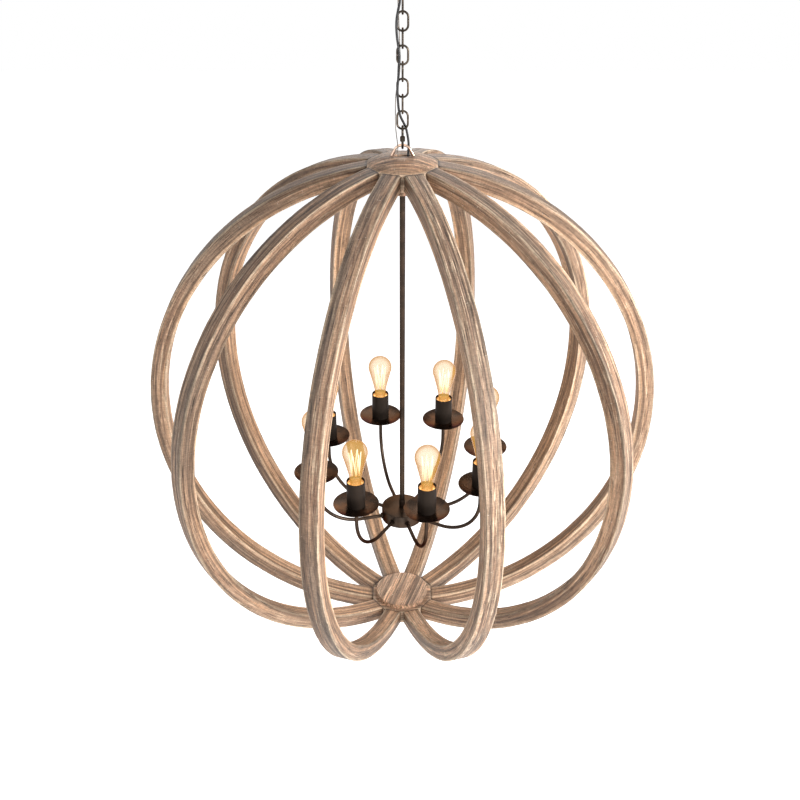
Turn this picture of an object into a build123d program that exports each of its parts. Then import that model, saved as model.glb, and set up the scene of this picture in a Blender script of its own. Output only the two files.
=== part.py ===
# Orb chandelier: ten bent wooden ribs between two ten-sided hubs make an open globe. A stem inside it
# carries a round wiring box with eight curved arms, each with a drip pan, a socket cup and a bulb.
# The globe hangs on a chain from a canopy, and the cord and the ground wire run beside the chain.
#
# Frame, in millimetres: +Z up, the ceiling is Z = 0, the chain hangs down the Z axis, and -Y faces the
# viewer. Heights of the globe are given from its middle and moved by globe_z, which follows from the
# length of the chain.
from build123d import *
from math import acos, asin, cos, degrees, hypot, pi, radians, sin, sqrt, tan
import os

os.makedirs("parts", exist_ok=True)

# ---------------------------------------------------------------- driving dimensions
# wooden globe
rib_count = 10
rib_outer_radius = 603.0  # radius of the rib's outer curve
rib_curve_offset = 19.0  # the curve's centre lies this far beyond the axis, so the globe is a little tall
rib_thickness = 36.0
rib_width = 40.0
rib_edge = 2.5  # eased long edges
rib_first_azimuth = -72.0  # ribs stand either side of the front
hub_apothem = 74.0
hub_dome_rise = 18.0
hub_seat_radius = 27.0  # flat on top of the dome
hub_rim_step = 2.5  # the hub's rim lies this far inside the ribs' outer faces
joint_gap = 0.3  # rib shoulder to hub flat
tenon_length = 16.0
tenon_width = 20.0
tenon_height = 14.0
tenon_clearance = 0.2
disc_diameter = 130.0
disc_thickness = 12.0

# hanging loop on the top hub
loop_opening = 19.93  # hub to the underside of the arch
loop_bar = 5.0  # height of the bar at the top of the arch
loop_depth = 6.0
loop_foot_half = 25.5  # outer edge of each foot
loop_foot_width = 7.0
loop_shoulder_half = 17.5
loop_shoulder_height = 16.5
loop_inner_shoulder_half = 12.0
loop_inner_shoulder_height = 14.0
leg_diameter = 6.0
leg_clearance = 0.15
leg_nut_flats = 10.0
leg_nut_height = 5.0
leg_thread_beyond_nut = 4.0
slot_length = 34.0
slot_width = 13.0
pocket_radius = 17.0
pocket_roof = 21.0  # wood left above the pocket

# stem
stem_diameter = 12.0
stem_bore = 10.4
stem_above_nut = 4.0
stem_fit = 0.1  # radial clearance of the pieces threaded on the stem
stem_nut_flats = 18.0
stem_nut_height = 5.0
collar_diameter = 15.0
collar_height = 12.0
base_collar_diameter = 14.0
base_collar_height = 20.0
stem_inside_box = 9.0

# wiring box
box_diameter = 100.0
box_height = 32.0
box_top = -283.0  # from the middle of the globe
box_wall = 1.2
box_edge = 2.0
cover_lip_height = 6.0
cover_fit = 0.1
connector_diameter = 12.0
connector_length = 22.0

# arms and lamps
lamp_count = 8
lamp_first_azimuth = 15.3
lamp_ring_radius = 211.0
arm_diameter = 8.5
arm_bore = 6.5
arm_height = -303.0  # axis of the arm where it leaves the box
arm_bend_radius = 106.0
arm_inside_box = 5.0
arm_fit = 0.1
arm_nut_flats = 13.0
arm_nut_height = 3.5
pan_diameter = 105.0
pan_thickness = 1.2
pan_flat_radius = 23.0
pan_rise = 5.0
pan_floor = -149.0  # underside of the pan's flat middle
cup_diameter = 42.0
cup_height = 67.0
cup_wall = 1.0
holder_diameter = 33.0
holder_below_rim = 8.0
holder_seat = 10.0  # length of arm held in the holder's foot
shell_wall = 0.6
shell_fit = 0.1
shell_flange_radius = 18.8
shell_flange_thickness = 1.0
cap_diameter = 26.0
cap_length = 22.0
cap_tip_length = 4.0
cap_tip_radius = 4.5
cap_clearance = 0.25  # radial, in the screw shell
bulb_diameter = 58.0
bulb_above_rim = 105.0
bulb_wall = 0.8
neck_length = 5.0
neck_in_cap = 2.0

# chain
link_wire = 4.3
link_length = 41.5
link_width = 26.0
link_seam = 1.2
link_count = 7
contact_gap = 0.2
lead_gap = 0.3  # between a cord's end and its lead, at the top pivot
wire_sides = 8
connector_wire = 5.0
connector_link_length = 49.6
connector_link_width = 27.0
connector_gate = 4.4  # opening that the sleeve closes
sleeve_flats = 9.0
sleeve_length = 10.0
sleeve_fit = 0.1

# ceiling fitting
crossbar_length = 104.0
crossbar_width = 16.0
crossbar_thickness = 2.5
ceiling_hole_spacing = 88.9
ceiling_hole_diameter = 4.8
nipple_diameter = 10.3
nipple_fit = 0.1
nipple_above_bar = 0.0
locknut_flats = 17.0
locknut_height = 4.0
canopy_diameter = 126.0
canopy_depth = 28.0
canopy_wall = 1.2
canopy_shoulder = 22.0
canopy_clearance = 0.3
thread_collar_diameter = 28.8
thread_collar_top = -22.0
thread_collar_bottom = -36.0
nipple_in_collar = 8.0
ring_nut_diameter = 40.0
ring_nut_height = 6.0
ring_nut_fit = 0.1
ring_wire = 4.5
ring_radius = 10.0  # to the middle of the ring's wire
ring_boss_diameter = 12.0
cord_way_diameter = 6.4
ground_way_diameter = 3.0
lead_connector_diameter = 12.0
lead_connector_length = 20.0
lead_bend_radius = 15.0

# cord and ground wire
cord_diameter = 5.0
ground_diameter = 2.0

# ---------------------------------------------------------------- worked-out sizes and heights
rib_root = hub_apothem + joint_gap
rib_inner_radius = rib_outer_radius - rib_thickness
rib_reach = rib_root + rib_curve_offset
rib_top = sqrt(rib_outer_radius**2 - rib_reach**2)  # outer edge of the rib's end, from the middle
rib_top_inner = sqrt(rib_inner_radius**2 - rib_reach**2)
hub_corner = hub_apothem / cos(pi / rib_count)
hub_inside = rib_top_inner
hub_rim = rib_top - hub_rim_step
hub_top = hub_rim + hub_dome_rise
disc_face = hub_inside - disc_thickness
tenon_middle = (rib_top + rib_top_inner) / 2

leg_centre = loop_foot_half - loop_foot_width / 2
leg_hole_radius = leg_diameter / 2 + leg_clearance
leg_end = disc_face - leg_nut_height - leg_thread_beyond_nut
pocket_top = hub_top - pocket_roof

stem_radius = stem_diameter / 2
stem_top = hub_inside + stem_nut_height + stem_above_nut
stem_bottom = box_top - box_wall - stem_inside_box
stem_hole_radius = stem_radius + stem_fit

box_radius = box_diameter / 2
arm_radius = arm_diameter / 2
arm_hole_radius = arm_radius + arm_fit
arm_bend_start = lamp_ring_radius - arm_bend_radius
arm_bend_middle = arm_height + arm_bend_radius
pan_top = pan_floor + pan_thickness
cup_rim = pan_top + cup_height
cup_inner_radius = cup_diameter / 2 - cup_wall
holder_bottom = pan_top + cup_wall
holder_top = cup_rim - holder_below_rim
arm_top = holder_bottom + holder_seat
cap_top = holder_top
cap_bottom = cap_top - cap_length - cap_tip_length
shell_inner_radius = cap_diameter / 2 + cap_clearance
shell_outer_radius = shell_inner_radius + shell_wall
shell_bottom = cap_bottom - 2 * cap_clearance
bulb_tip = cup_rim + bulb_above_rim
neck_bottom = cap_top - neck_in_cap

link_bow = (link_width - link_wire) / 2
link_span = link_length - link_wire  # between the middles of its two end wires
link_pitch = link_length - 2 * link_wire - contact_gap
ring_middle = -60.7
ring_low = ring_middle - ring_radius  # middle of the ring's lowest wire: the top pivot
top_link_high = ring_low + (ring_wire + link_wire) / 2 + contact_gap
top_link_low = top_link_high - link_span  # the second pivot
chain_high = top_link_low + link_wire + contact_gap
chain_low = chain_high - link_span - (link_count - 1) * link_pitch
connector_high = chain_low + (link_wire + connector_wire) / 2 + contact_gap
connector_low = connector_high - connector_link_length + connector_wire  # the globe's pivot
connector_bow = (connector_link_width - connector_wire) / 2
bow_climb = connector_bow - sqrt(connector_bow**2 - (loop_depth / 2) ** 2)  # at the loop's two faces
loop_underside = connector_low + connector_wire / 2 + bow_climb + contact_gap
loop_top = loop_underside + loop_bar
hub_top_z = loop_underside - loop_opening
globe_z = hub_top_z - hub_top
thread_collar_radius = thread_collar_diameter / 2
canopy_radius = canopy_diameter / 2
canopy_hole_radius = thread_collar_radius + canopy_clearance
ring_nut_top = -canopy_depth


def meridian(azimuth):
    """Upright plane through the globe's middle: local X points out along the azimuth, local Y is up."""
    angle = radians(azimuth)
    return Plane(
        origin=(0, 0, globe_z), x_dir=(cos(angle), sin(angle), 0), z_dir=(sin(angle), -cos(angle), 0)
    )


def level(height):
    """Horizontal plane at a height given from the globe's middle."""
    return Plane.XY.offset(globe_z + height)


lamp_places = PolarLocations(lamp_ring_radius, lamp_count, start_angle=lamp_first_azimuth).locations
arm_turns = PolarLocations(0, lamp_count, start_angle=lamp_first_azimuth).locations
lamp_plane = Plane(origin=(0, 0, globe_z), x_dir=(1, 0, 0), z_dir=(0, -1, 0))


def save(part, name):
    """Label the finished piece and write it."""
    part.label = name
    export_step(part, f"parts/{name}.step")


# ---------------------------------------------------------------- ribs
for number in range(rib_count):
    with BuildPart() as rib:
        with BuildSketch(meridian(rib_first_azimuth + number * 360 / rib_count)):
            with BuildLine():
                outer = ThreePointArc(
                    (rib_root, rib_top),
                    (rib_outer_radius - rib_curve_offset, 0),
                    (rib_root, -rib_top),
                )
                inner = ThreePointArc(
                    (rib_root, rib_top_inner),
                    (rib_inner_radius - rib_curve_offset, 0),
                    (rib_root, -rib_top_inner),
                )
                Line(outer @ 0, inner @ 0)
                Line(outer @ 1, inner @ 1)
            make_face()
        extrude(amount=rib_width / 2, both=True)
        long_edges = rib.edges().filter_by(GeomType.CIRCLE).sort_by(SortBy.LENGTH)[-2:]
        chamfer(long_edges, rib_edge)
        with BuildSketch(meridian(rib_first_azimuth + number * 360 / rib_count)):
            with Locations(
                (rib_root - tenon_length / 2, tenon_middle), (rib_root - tenon_length / 2, -tenon_middle)
            ):
                Rectangle(tenon_length, tenon_height)
        extrude(amount=tenon_width / 2, both=True)
    save(rib.part, f"rib_{number + 1}")

# ---------------------------------------------------------------- hubs: domed ten-sided blocks
mortise_length = tenon_length + tenon_clearance - joint_gap


def cut_mortises(height):
    """Pockets in the hub's flats for the ribs' tenons, in the open hub block."""
    with BuildSketch(level(height - tenon_height / 2 - tenon_clearance)) as mouths:
        with PolarLocations(hub_apothem - mortise_length / 2, rib_count, start_angle=rib_first_azimuth):
            Rectangle(mortise_length, tenon_width + 2 * tenon_clearance)
    extrude(mouths.sketch, amount=tenon_height + 2 * tenon_clearance, mode=Mode.SUBTRACT)


def hub_dome(side):
    """Half outline of the block, side +1 for the top hub and -1 for the bottom one."""
    with BuildSketch(Plane(origin=(0, 0, globe_z), x_dir=(1, 0, 0), z_dir=(0, -1, 0))) as half:
        with BuildLine():
            Polyline(
                (hub_corner, side * hub_rim),
                (hub_corner, side * hub_inside),
                (0, side * hub_inside),
                (0, side * hub_top),
                (hub_seat_radius, side * hub_top),
            )
            rise = hub_dome_rise
            sag = 0.15 * rise
            middle = (hub_corner + hub_seat_radius) / 2
            ThreePointArc(
                (hub_seat_radius, side * hub_top),
                (middle, side * (hub_top - rise / 2 + sag)),
                (hub_corner, side * hub_rim),
            )
        make_face()
    revolve(half.sketch, axis=Axis((0, 0, globe_z), (0, 0, 1)))


def trim_to_decagon(low, high):
    """Keep what lies inside the ten flats that face the ribs."""
    with BuildSketch(level(low)) as decagon:
        RegularPolygon(
            radius=hub_apothem,
            side_count=rib_count,
            major_radius=False,
            rotation=rib_first_azimuth + 180 / rib_count,
        )
    extrude(decagon.sketch, amount=high - low, mode=Mode.INTERSECT)


with BuildPart() as top_hub:
    hub_dome(1)
    trim_to_decagon(hub_inside, hub_top)
    cut_mortises(tenon_middle)
    with BuildSketch(level(hub_inside)):
        Circle(pocket_radius)
    extrude(amount=pocket_top - hub_inside, mode=Mode.SUBTRACT)
    with BuildSketch(level(hub_top)):
        SlotOverall(slot_length, slot_width)
    extrude(amount=-pocket_roof - 1, mode=Mode.SUBTRACT)
    with BuildSketch(level(hub_inside)):
        with Locations((-leg_centre, 0), (leg_centre, 0)):
            Circle(leg_hole_radius)
    extrude(amount=hub_top - hub_inside, mode=Mode.SUBTRACT)
save(top_hub.part, "top_hub")

with BuildPart() as bottom_hub:
    hub_dome(-1)
    trim_to_decagon(-hub_top, -hub_inside)
    cut_mortises(-tenon_middle)
save(bottom_hub.part, "bottom_hub")

with BuildPart() as top_disc:
    with BuildSketch(level(disc_face)):
        Circle(disc_diameter / 2)
        Circle(stem_hole_radius, mode=Mode.SUBTRACT)
        with Locations((-leg_centre, 0), (leg_centre, 0)):
            Circle(leg_hole_radius, mode=Mode.SUBTRACT)
    extrude(amount=disc_thickness)
save(top_disc.part, "top_disc")

with BuildPart() as bottom_disc:
    with BuildSketch(level(-disc_face)):
        Circle(disc_diameter / 2)
    extrude(amount=-disc_thickness)
save(bottom_disc.part, "bottom_disc")

# ---------------------------------------------------------------- hanging loop and its nuts
loop_rise = loop_top - hub_top_z
with BuildPart() as hanging_loop:
    with BuildSketch(Plane(origin=(0, 0, hub_top_z), x_dir=(1, 0, 0), z_dir=(0, -1, 0))):
        with BuildLine():
            Line((-loop_foot_half, 0), (-loop_shoulder_half, loop_shoulder_height))
            ThreePointArc(
                (-loop_shoulder_half, loop_shoulder_height),
                (0, loop_rise),
                (loop_shoulder_half, loop_shoulder_height),
            )
            Line((loop_shoulder_half, loop_shoulder_height), (loop_foot_half, 0))
            Line((loop_foot_half, 0), (loop_foot_half - loop_foot_width, 0))
            Line(
                (loop_foot_half - loop_foot_width, 0),
                (loop_inner_shoulder_half, loop_inner_shoulder_height),
            )
            ThreePointArc(
                (loop_inner_shoulder_half, loop_inner_shoulder_height),
                (0, loop_opening),
                (-loop_inner_shoulder_half, loop_inner_shoulder_height),
            )
            Line(
                (-loop_inner_shoulder_half, loop_inner_shoulder_height),
                (-loop_foot_half + loop_foot_width, 0),
            )
            Line((-loop_foot_half + loop_foot_width, 0), (-loop_foot_half, 0))
        make_face()
    extrude(amount=loop_depth / 2, both=True)
    with BuildSketch(level(leg_end)):
        with Locations((-leg_centre, 0), (leg_centre, 0)):
            Circle(leg_diameter / 2)
    extrude(amount=hub_top - leg_end)
save(hanging_loop.part, "hanging_loop")

with BuildPart() as loop_nuts:
    with BuildSketch(level(disc_face - leg_nut_height)):
        with Locations((-leg_centre, 0), (leg_centre, 0)):
            RegularPolygon(radius=leg_nut_flats / 2, side_count=6, major_radius=False)
            Circle(leg_diameter / 2 + leg_clearance, mode=Mode.SUBTRACT)
    extrude(amount=leg_nut_height)
save(loop_nuts.part, "loop_nuts")

# ---------------------------------------------------------------- stem
with BuildPart() as stem:
    with BuildSketch(level(stem_bottom)):
        Circle(stem_radius)
        Circle(stem_bore / 2, mode=Mode.SUBTRACT)
    extrude(amount=stem_top - stem_bottom)
save(stem.part, "stem")

with BuildPart() as stem_locknut:
    with BuildSketch(level(hub_inside)):
        RegularPolygon(radius=stem_nut_flats / 2, side_count=6, major_radius=False)
        Circle(stem_hole_radius, mode=Mode.SUBTRACT)
    extrude(amount=stem_nut_height)
save(stem_locknut.part, "stem_locknut")

with BuildPart() as stem_collar:
    with BuildSketch(level(disc_face - collar_height)):
        Circle(collar_diameter / 2)
        Circle(stem_hole_radius, mode=Mode.SUBTRACT)
    extrude(amount=collar_height)
save(stem_collar.part, "stem_collar")

with BuildPart() as base_collar:
    with BuildSketch(level(box_top)):
        Circle(base_collar_diameter / 2)
        Circle(stem_hole_radius, mode=Mode.SUBTRACT)
    extrude(amount=base_collar_height)
save(base_collar.part, "base_collar")

with BuildPart() as base_nut:
    with BuildSketch(level(box_top - box_wall - stem_nut_height)):
        RegularPolygon(radius=stem_nut_flats / 2, side_count=6, major_radius=False)
        Circle(stem_hole_radius, mode=Mode.SUBTRACT)
    extrude(amount=stem_nut_height)
save(base_nut.part, "base_nut")

# ---------------------------------------------------------------- wiring box
box_bottom = box_top - box_height
with BuildPart() as wiring_box:
    with BuildSketch(level(box_bottom)):
        Circle(box_radius)
    extrude(amount=box_height)
    chamfer(wiring_box.edges().group_by(Axis.Z)[-1], box_edge)
    with BuildSketch(level(box_bottom)):
        Circle(box_radius - box_wall)
    extrude(amount=box_height - box_wall, mode=Mode.SUBTRACT)
    with BuildSketch(level(box_top)):
        Circle(stem_hole_radius)
    extrude(amount=-box_wall, mode=Mode.SUBTRACT)
    with Locations([turn * Location((box_radius, 0, globe_z + arm_height), (0, 90, 0)) for turn in arm_turns]):
        Cylinder(arm_hole_radius, 4 * box_wall, mode=Mode.SUBTRACT)
save(wiring_box.part, "wiring_box")

cover_radius = box_radius - box_wall - cover_fit
with BuildPart() as box_cover:
    with BuildSketch(level(box_bottom)):
        Circle(cover_radius)
    extrude(amount=cover_lip_height)
    with BuildSketch(level(box_bottom + box_wall)):
        Circle(cover_radius - box_wall)
    extrude(amount=cover_lip_height - box_wall, mode=Mode.SUBTRACT)
save(box_cover.part, "box_cover")

connector_height = box_bottom + cover_lip_height + connector_diameter / 2 + 2
connector_ring = 22.0
with BuildPart() as wire_connectors:
    with BuildSketch(level(connector_height - connector_length / 2 + 2)):
        with PolarLocations(connector_ring, 3):
            Circle(connector_diameter / 2)
    extrude(amount=connector_length - box_wall, taper=6)
save(wire_connectors.part, "wire_connectors")

# ---------------------------------------------------------------- arms
arm_inner_end = box_radius - box_wall - arm_inside_box
arm_section = Plane(origin=(arm_inner_end, 0, globe_z + arm_height), x_dir=(0, 1, 0), z_dir=(1, 0, 0))
bend_section = Plane(origin=(arm_bend_start, 0, globe_z + arm_height), x_dir=(0, 1, 0), z_dir=(1, 0, 0))
bend_axis = Axis((arm_bend_start, 0, globe_z + arm_bend_middle), (0, -1, 0))
with BuildPart() as arm:
    with BuildSketch(arm_section):
        Circle(arm_radius)
        Circle(arm_bore / 2, mode=Mode.SUBTRACT)
    extrude(amount=arm_bend_start - arm_inner_end)
    with BuildSketch(bend_section):
        Circle(arm_radius)
        Circle(arm_bore / 2, mode=Mode.SUBTRACT)
    revolve(axis=bend_axis, revolution_arc=90)
    with BuildSketch(level(arm_bend_middle)):
        with Locations((lamp_ring_radius, 0)):
            Circle(arm_radius)
            Circle(arm_bore / 2, mode=Mode.SUBTRACT)
    extrude(amount=arm_top - arm_bend_middle)

with BuildPart() as arms:
    with Locations(arm_turns):
        add(arm.part)
save(arms.part, "arms")

with BuildPart() as arm_nut:
    with BuildSketch(
        Plane(origin=(box_radius, 0, globe_z + arm_height), x_dir=(0, 1, 0), z_dir=(1, 0, 0))
    ):
        RegularPolygon(radius=arm_nut_flats / 2, side_count=6, major_radius=False)
        Circle(arm_hole_radius, mode=Mode.SUBTRACT)
    extrude(amount=arm_nut_height)

with BuildPart() as arm_nuts:
    with Locations(arm_turns):
        add(arm_nut.part)
save(arm_nuts.part, "arm_nuts")

# ---------------------------------------------------------------- lamps
lamp_axis = Axis((0, 0, 0), (0, 0, 1))
pan_radius = pan_diameter / 2
pan_side_middle = (pan_flat_radius + pan_radius) / 2
with BuildPart() as pan:
    with BuildSketch(lamp_plane):
        with BuildLine():
            under = ThreePointArc(
                (pan_flat_radius, pan_floor),
                (pan_side_middle, pan_floor + 0.3 * pan_rise),
                (pan_radius, pan_floor + pan_rise),
            )
            upper = ThreePointArc(
                (pan_flat_radius, pan_top),
                (pan_side_middle, pan_top + 0.3 * pan_rise),
                (pan_radius, pan_top + pan_rise),
            )
            Line(under @ 1, upper @ 1)
            Polyline(
                under @ 0, (arm_hole_radius, pan_floor), (arm_hole_radius, pan_top), upper @ 0
            )
        make_face()
    revolve(axis=lamp_axis)

with BuildPart() as drip_pans:
    with Locations(lamp_places):
        add(pan.part)
save(drip_pans.part, "drip_pans")

with BuildPart() as cup:
    with BuildSketch(Plane.XY.offset(globe_z + pan_top)):
        Circle(cup_diameter / 2)
    extrude(amount=cup_height)
    with BuildSketch(Plane.XY.offset(globe_z + pan_top + cup_wall)):
        Circle(cup_inner_radius)
    extrude(amount=cup_height - cup_wall, mode=Mode.SUBTRACT)
    with BuildSketch(Plane.XY.offset(globe_z + pan_top)):
        Circle(arm_hole_radius)
    extrude(amount=cup_wall, mode=Mode.SUBTRACT)

with BuildPart() as socket_cups:
    with Locations(lamp_places):
        add(cup.part)
save(socket_cups.part, "socket_cups")

holder_bore_radius = shell_outer_radius + shell_fit
with BuildPart() as holder:
    with BuildSketch(Plane.XY.offset(globe_z + holder_bottom)):
        Circle(holder_diameter / 2)
    extrude(amount=holder_top - holder_bottom)
    with BuildSketch(Plane.XY.offset(globe_z + shell_bottom)):
        Circle(holder_bore_radius)
    extrude(amount=holder_top - shell_bottom, mode=Mode.SUBTRACT)
    with BuildSketch(Plane.XY.offset(globe_z + holder_bottom)):
        Circle(arm_hole_radius)
    extrude(amount=holder_seat + arm_fit, mode=Mode.SUBTRACT)

with BuildPart() as lampholders:
    with Locations(lamp_places):
        add(holder.part)
save(lampholders.part, "lampholders")

with BuildPart() as shell:
    with BuildSketch(lamp_plane):
        with BuildLine():
            Polyline(
                (shell_inner_radius, shell_bottom + shell_fit),
                (shell_outer_radius, shell_bottom + shell_fit),
                (shell_outer_radius, holder_top),
                (shell_flange_radius, holder_top),
                (shell_flange_radius, holder_top + shell_flange_thickness),
                (shell_inner_radius, holder_top + shell_flange_thickness),
                close=True,
            )
        make_face()
    revolve(axis=lamp_axis)

with BuildPart() as screw_shells:
    with Locations(lamp_places):
        add(shell.part)
save(screw_shells.part, "screw_shells")

# ---------------------------------------------------------------- bulbs: a globe, a tangent flank and a neck
neck_top = neck_bottom + neck_in_cap + neck_length


def envelope_outline(skin):
    """Half face of the glass's outline, drawn inward by the skin's thickness."""
    globe_radius = bulb_diameter / 2 - skin
    neck_radius = cap_diameter / 2 - shell_wall - skin
    middle = bulb_tip - bulb_diameter / 2
    reach = hypot(neck_radius, middle - neck_top)
    lean = asin(globe_radius / reach) - asin(neck_radius / reach)
    touch = (globe_radius * cos(lean), middle - globe_radius * sin(lean))
    swell_angle = pi / 4 - lean / 2
    swell = (globe_radius * cos(swell_angle), middle + globe_radius * sin(swell_angle))
    floor = neck_bottom + skin
    with BuildSketch(lamp_plane) as half:
        with BuildLine():
            Polyline((0, floor), (neck_radius, floor), (neck_radius, neck_top), touch)
            ThreePointArc(touch, swell, (0, middle + globe_radius))
            Line((0, middle + globe_radius), (0, floor))
        make_face()
    return half.sketch


with BuildPart() as envelope:
    revolve(envelope_outline(0), axis=lamp_axis)
    revolve(envelope_outline(bulb_wall), axis=lamp_axis, mode=Mode.SUBTRACT)

with BuildPart() as cap:
    with BuildSketch(lamp_plane):
        with BuildLine():
            Polyline(
                (0, cap_bottom),
                (cap_tip_radius, cap_bottom),
                (cap_diameter / 2, cap_bottom + cap_tip_length),
                (cap_diameter / 2, cap_top),
                (cap_diameter / 2 - shell_wall, cap_top),
                (cap_diameter / 2 - shell_wall, neck_bottom),
                (0, neck_bottom),
                close=True,
            )
        make_face()
    revolve(axis=lamp_axis)

for number, place in enumerate(lamp_places):
    with BuildPart() as bulb_glass:
        with Locations(place):
            add(envelope.part)
    save(bulb_glass.part, f"bulb_glass_{number + 1}")
    with BuildPart() as bulb_cap:
        with Locations(place):
            add(cap.part)
    save(bulb_cap.part, f"bulb_cap_{number + 1}")

# ---------------------------------------------------------------- chain
face_on = Plane(origin=(0, 0, 0), x_dir=(1, 0, 0), z_dir=(0, -1, 0))
edge_on = Plane(origin=(0, 0, 0), x_dir=(0, 1, 0), z_dir=(1, 0, 0))


def bent_link(plane, low, span, bow, wire, opening, side):
    """One link of bent wire in the plane: two half-round bows and two sides, one of them open."""
    low_bend = low + bow
    high_bend = low + span - bow
    middle = low + span / 2
    runs = [
        (-side, low_bend, high_bend),
        (side, low_bend, middle - opening / 2),
        (side, middle + opening / 2, high_bend),
    ]
    with BuildPart() as link:
        for height, turn in ((high_bend, 1), (low_bend, -1)):
            start = plane.from_local_coords((bow, height, 0))
            with BuildSketch(Plane(origin=start, x_dir=plane.x_dir, z_dir=(0, 0, 1))):
                RegularPolygon(radius=wire / 2, side_count=wire_sides)
            bend_axis = Axis(plane.from_local_coords((0, height, 0)), plane.z_dir * turn)
            revolve(axis=bend_axis, revolution_arc=180)
        for hand, run_low, run_high in runs:
            foot = plane.from_local_coords((hand * bow, run_low, 0))
            with BuildSketch(Plane(origin=foot, x_dir=plane.x_dir, z_dir=(0, 0, 1))):
                RegularPolygon(radius=wire / 2, side_count=wire_sides)
            extrude(amount=run_high - run_low)
    return link.part


# seams of the links from the top down: front, left and right as the links hang
link_planes = [face_on if number % 2 == 0 else edge_on for number in range(link_count)]
seam_sides = [-1, -1, -1, -1, 1, -1, 1]
links = [
    bent_link(
        link_planes[number],
        chain_high - link_span - number * link_pitch,
        link_span,
        link_bow,
        link_wire,
        link_seam,
        seam_sides[number],
    )
    for number in range(link_count)
]

save(bent_link(edge_on, top_link_low, link_span, link_bow, link_wire, link_seam, -1), "top_link")

save(Compound(links), "chain_links")

connector_span = connector_high - connector_low
save(
    bent_link(
        edge_on, connector_low, connector_span, connector_bow, connector_wire, connector_gate, -1
    ),
    "connector_link",
)

sleeve_middle = connector_low + connector_span / 2
sleeve_bottom = sleeve_middle - sleeve_length / 2
with BuildPart() as connector_sleeve:
    with BuildSketch(Plane.XY.offset(sleeve_bottom)):
        with Locations((0, -connector_bow)):
            RegularPolygon(radius=sleeve_flats / 2, side_count=6, major_radius=False)
            Circle(connector_wire / 2 + sleeve_fit, mode=Mode.SUBTRACT)
    extrude(amount=sleeve_length)
save(connector_sleeve.part, "connector_sleeve")

# ---------------------------------------------------------------- ceiling fitting
nipple_radius = nipple_diameter / 2
nipple_hole_radius = nipple_radius + nipple_fit
with BuildPart() as crossbar:
    with BuildSketch(Plane.XY.offset(-crossbar_thickness)):
        RectangleRounded(crossbar_length, crossbar_width, crossbar_width / 2 - 1)
        Circle(nipple_hole_radius, mode=Mode.SUBTRACT)
        with GridLocations(ceiling_hole_spacing, 0, 2, 1):
            Circle(ceiling_hole_diameter / 2, mode=Mode.SUBTRACT)
    extrude(amount=crossbar_thickness)
save(crossbar.part, "crossbar")

nipple_bottom = thread_collar_top - nipple_in_collar
with BuildPart() as ceiling_nipple:
    with BuildSketch(Plane.XY.offset(nipple_bottom)):
        Circle(nipple_radius)
    extrude(amount=-nipple_bottom)
save(ceiling_nipple.part, "ceiling_nipple")

with BuildPart() as ceiling_locknut:
    with BuildSketch(Plane.XY.offset(-crossbar_thickness - locknut_height)):
        RegularPolygon(radius=locknut_flats / 2, side_count=6, major_radius=False)
        Circle(nipple_hole_radius, mode=Mode.SUBTRACT)
    extrude(amount=locknut_height)
save(ceiling_locknut.part, "ceiling_locknut")

with BuildPart() as canopy:
    with BuildSketch(Plane.XZ):
        with BuildLine():
            bend_x = canopy_radius - canopy_shoulder
            bend_z = canopy_shoulder - canopy_depth
            outside = Line((canopy_radius, 0), (canopy_radius, bend_z))
            turn_out = RadiusArc(outside @ 1, (bend_x, -canopy_depth), canopy_shoulder)
            Line(turn_out @ 1, (canopy_hole_radius, -canopy_depth))
            inside = Line((canopy_radius - canopy_wall, 0), (canopy_radius - canopy_wall, bend_z))
            turn_in = RadiusArc(
                inside @ 1, (bend_x, canopy_wall - canopy_depth), canopy_shoulder - canopy_wall
            )
            Line(turn_in @ 1, (canopy_hole_radius, canopy_wall - canopy_depth))
            Line(outside @ 0, inside @ 0)
            Line(
                (canopy_hole_radius, -canopy_depth), (canopy_hole_radius, canopy_wall - canopy_depth)
            )
        make_face()
    revolve(axis=Axis.Z)
save(canopy.part, "canopy")

with BuildPart() as ring_nut:
    with BuildSketch(Plane.XY.offset(ring_nut_top - ring_nut_height)):
        RegularPolygon(radius=ring_nut_diameter / 2, side_count=24)
        Circle(thread_collar_radius + ring_nut_fit, mode=Mode.SUBTRACT)
    extrude(amount=ring_nut_height)
save(ring_nut.part, "ring_nut")

cord_way = (-5.5, -8.0)  # where the cord passes up through the threaded collar
ground_way = (-9.2, 4.4)
with BuildPart() as ceiling_loop:
    with BuildSketch(Plane.XY.offset(thread_collar_bottom)):
        Circle(thread_collar_radius)
        with Locations(cord_way):
            Circle(cord_way_diameter / 2, mode=Mode.SUBTRACT)
        with Locations(ground_way):
            Circle(ground_way_diameter / 2, mode=Mode.SUBTRACT)
    extrude(amount=thread_collar_top - thread_collar_bottom)
    with BuildSketch(Plane.XY.offset(thread_collar_top)):
        Circle(nipple_hole_radius)
    extrude(amount=-nipple_in_collar - nipple_fit, mode=Mode.SUBTRACT)
    with BuildSketch(Plane.XY.offset(thread_collar_bottom)):
        Circle(ring_boss_diameter / 2)
    extrude(amount=ring_middle + ring_radius - thread_collar_bottom)
    with BuildSketch(Plane(origin=(ring_radius, 0, ring_middle), x_dir=(1, 0, 0), z_dir=(0, 0, 1))):
        RegularPolygon(radius=ring_wire / 2, side_count=wire_sides)
    revolve(axis=Axis((0, 0, ring_middle), (0, 1, 0)))
save(ceiling_loop.part, "ceiling_loop")

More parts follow.
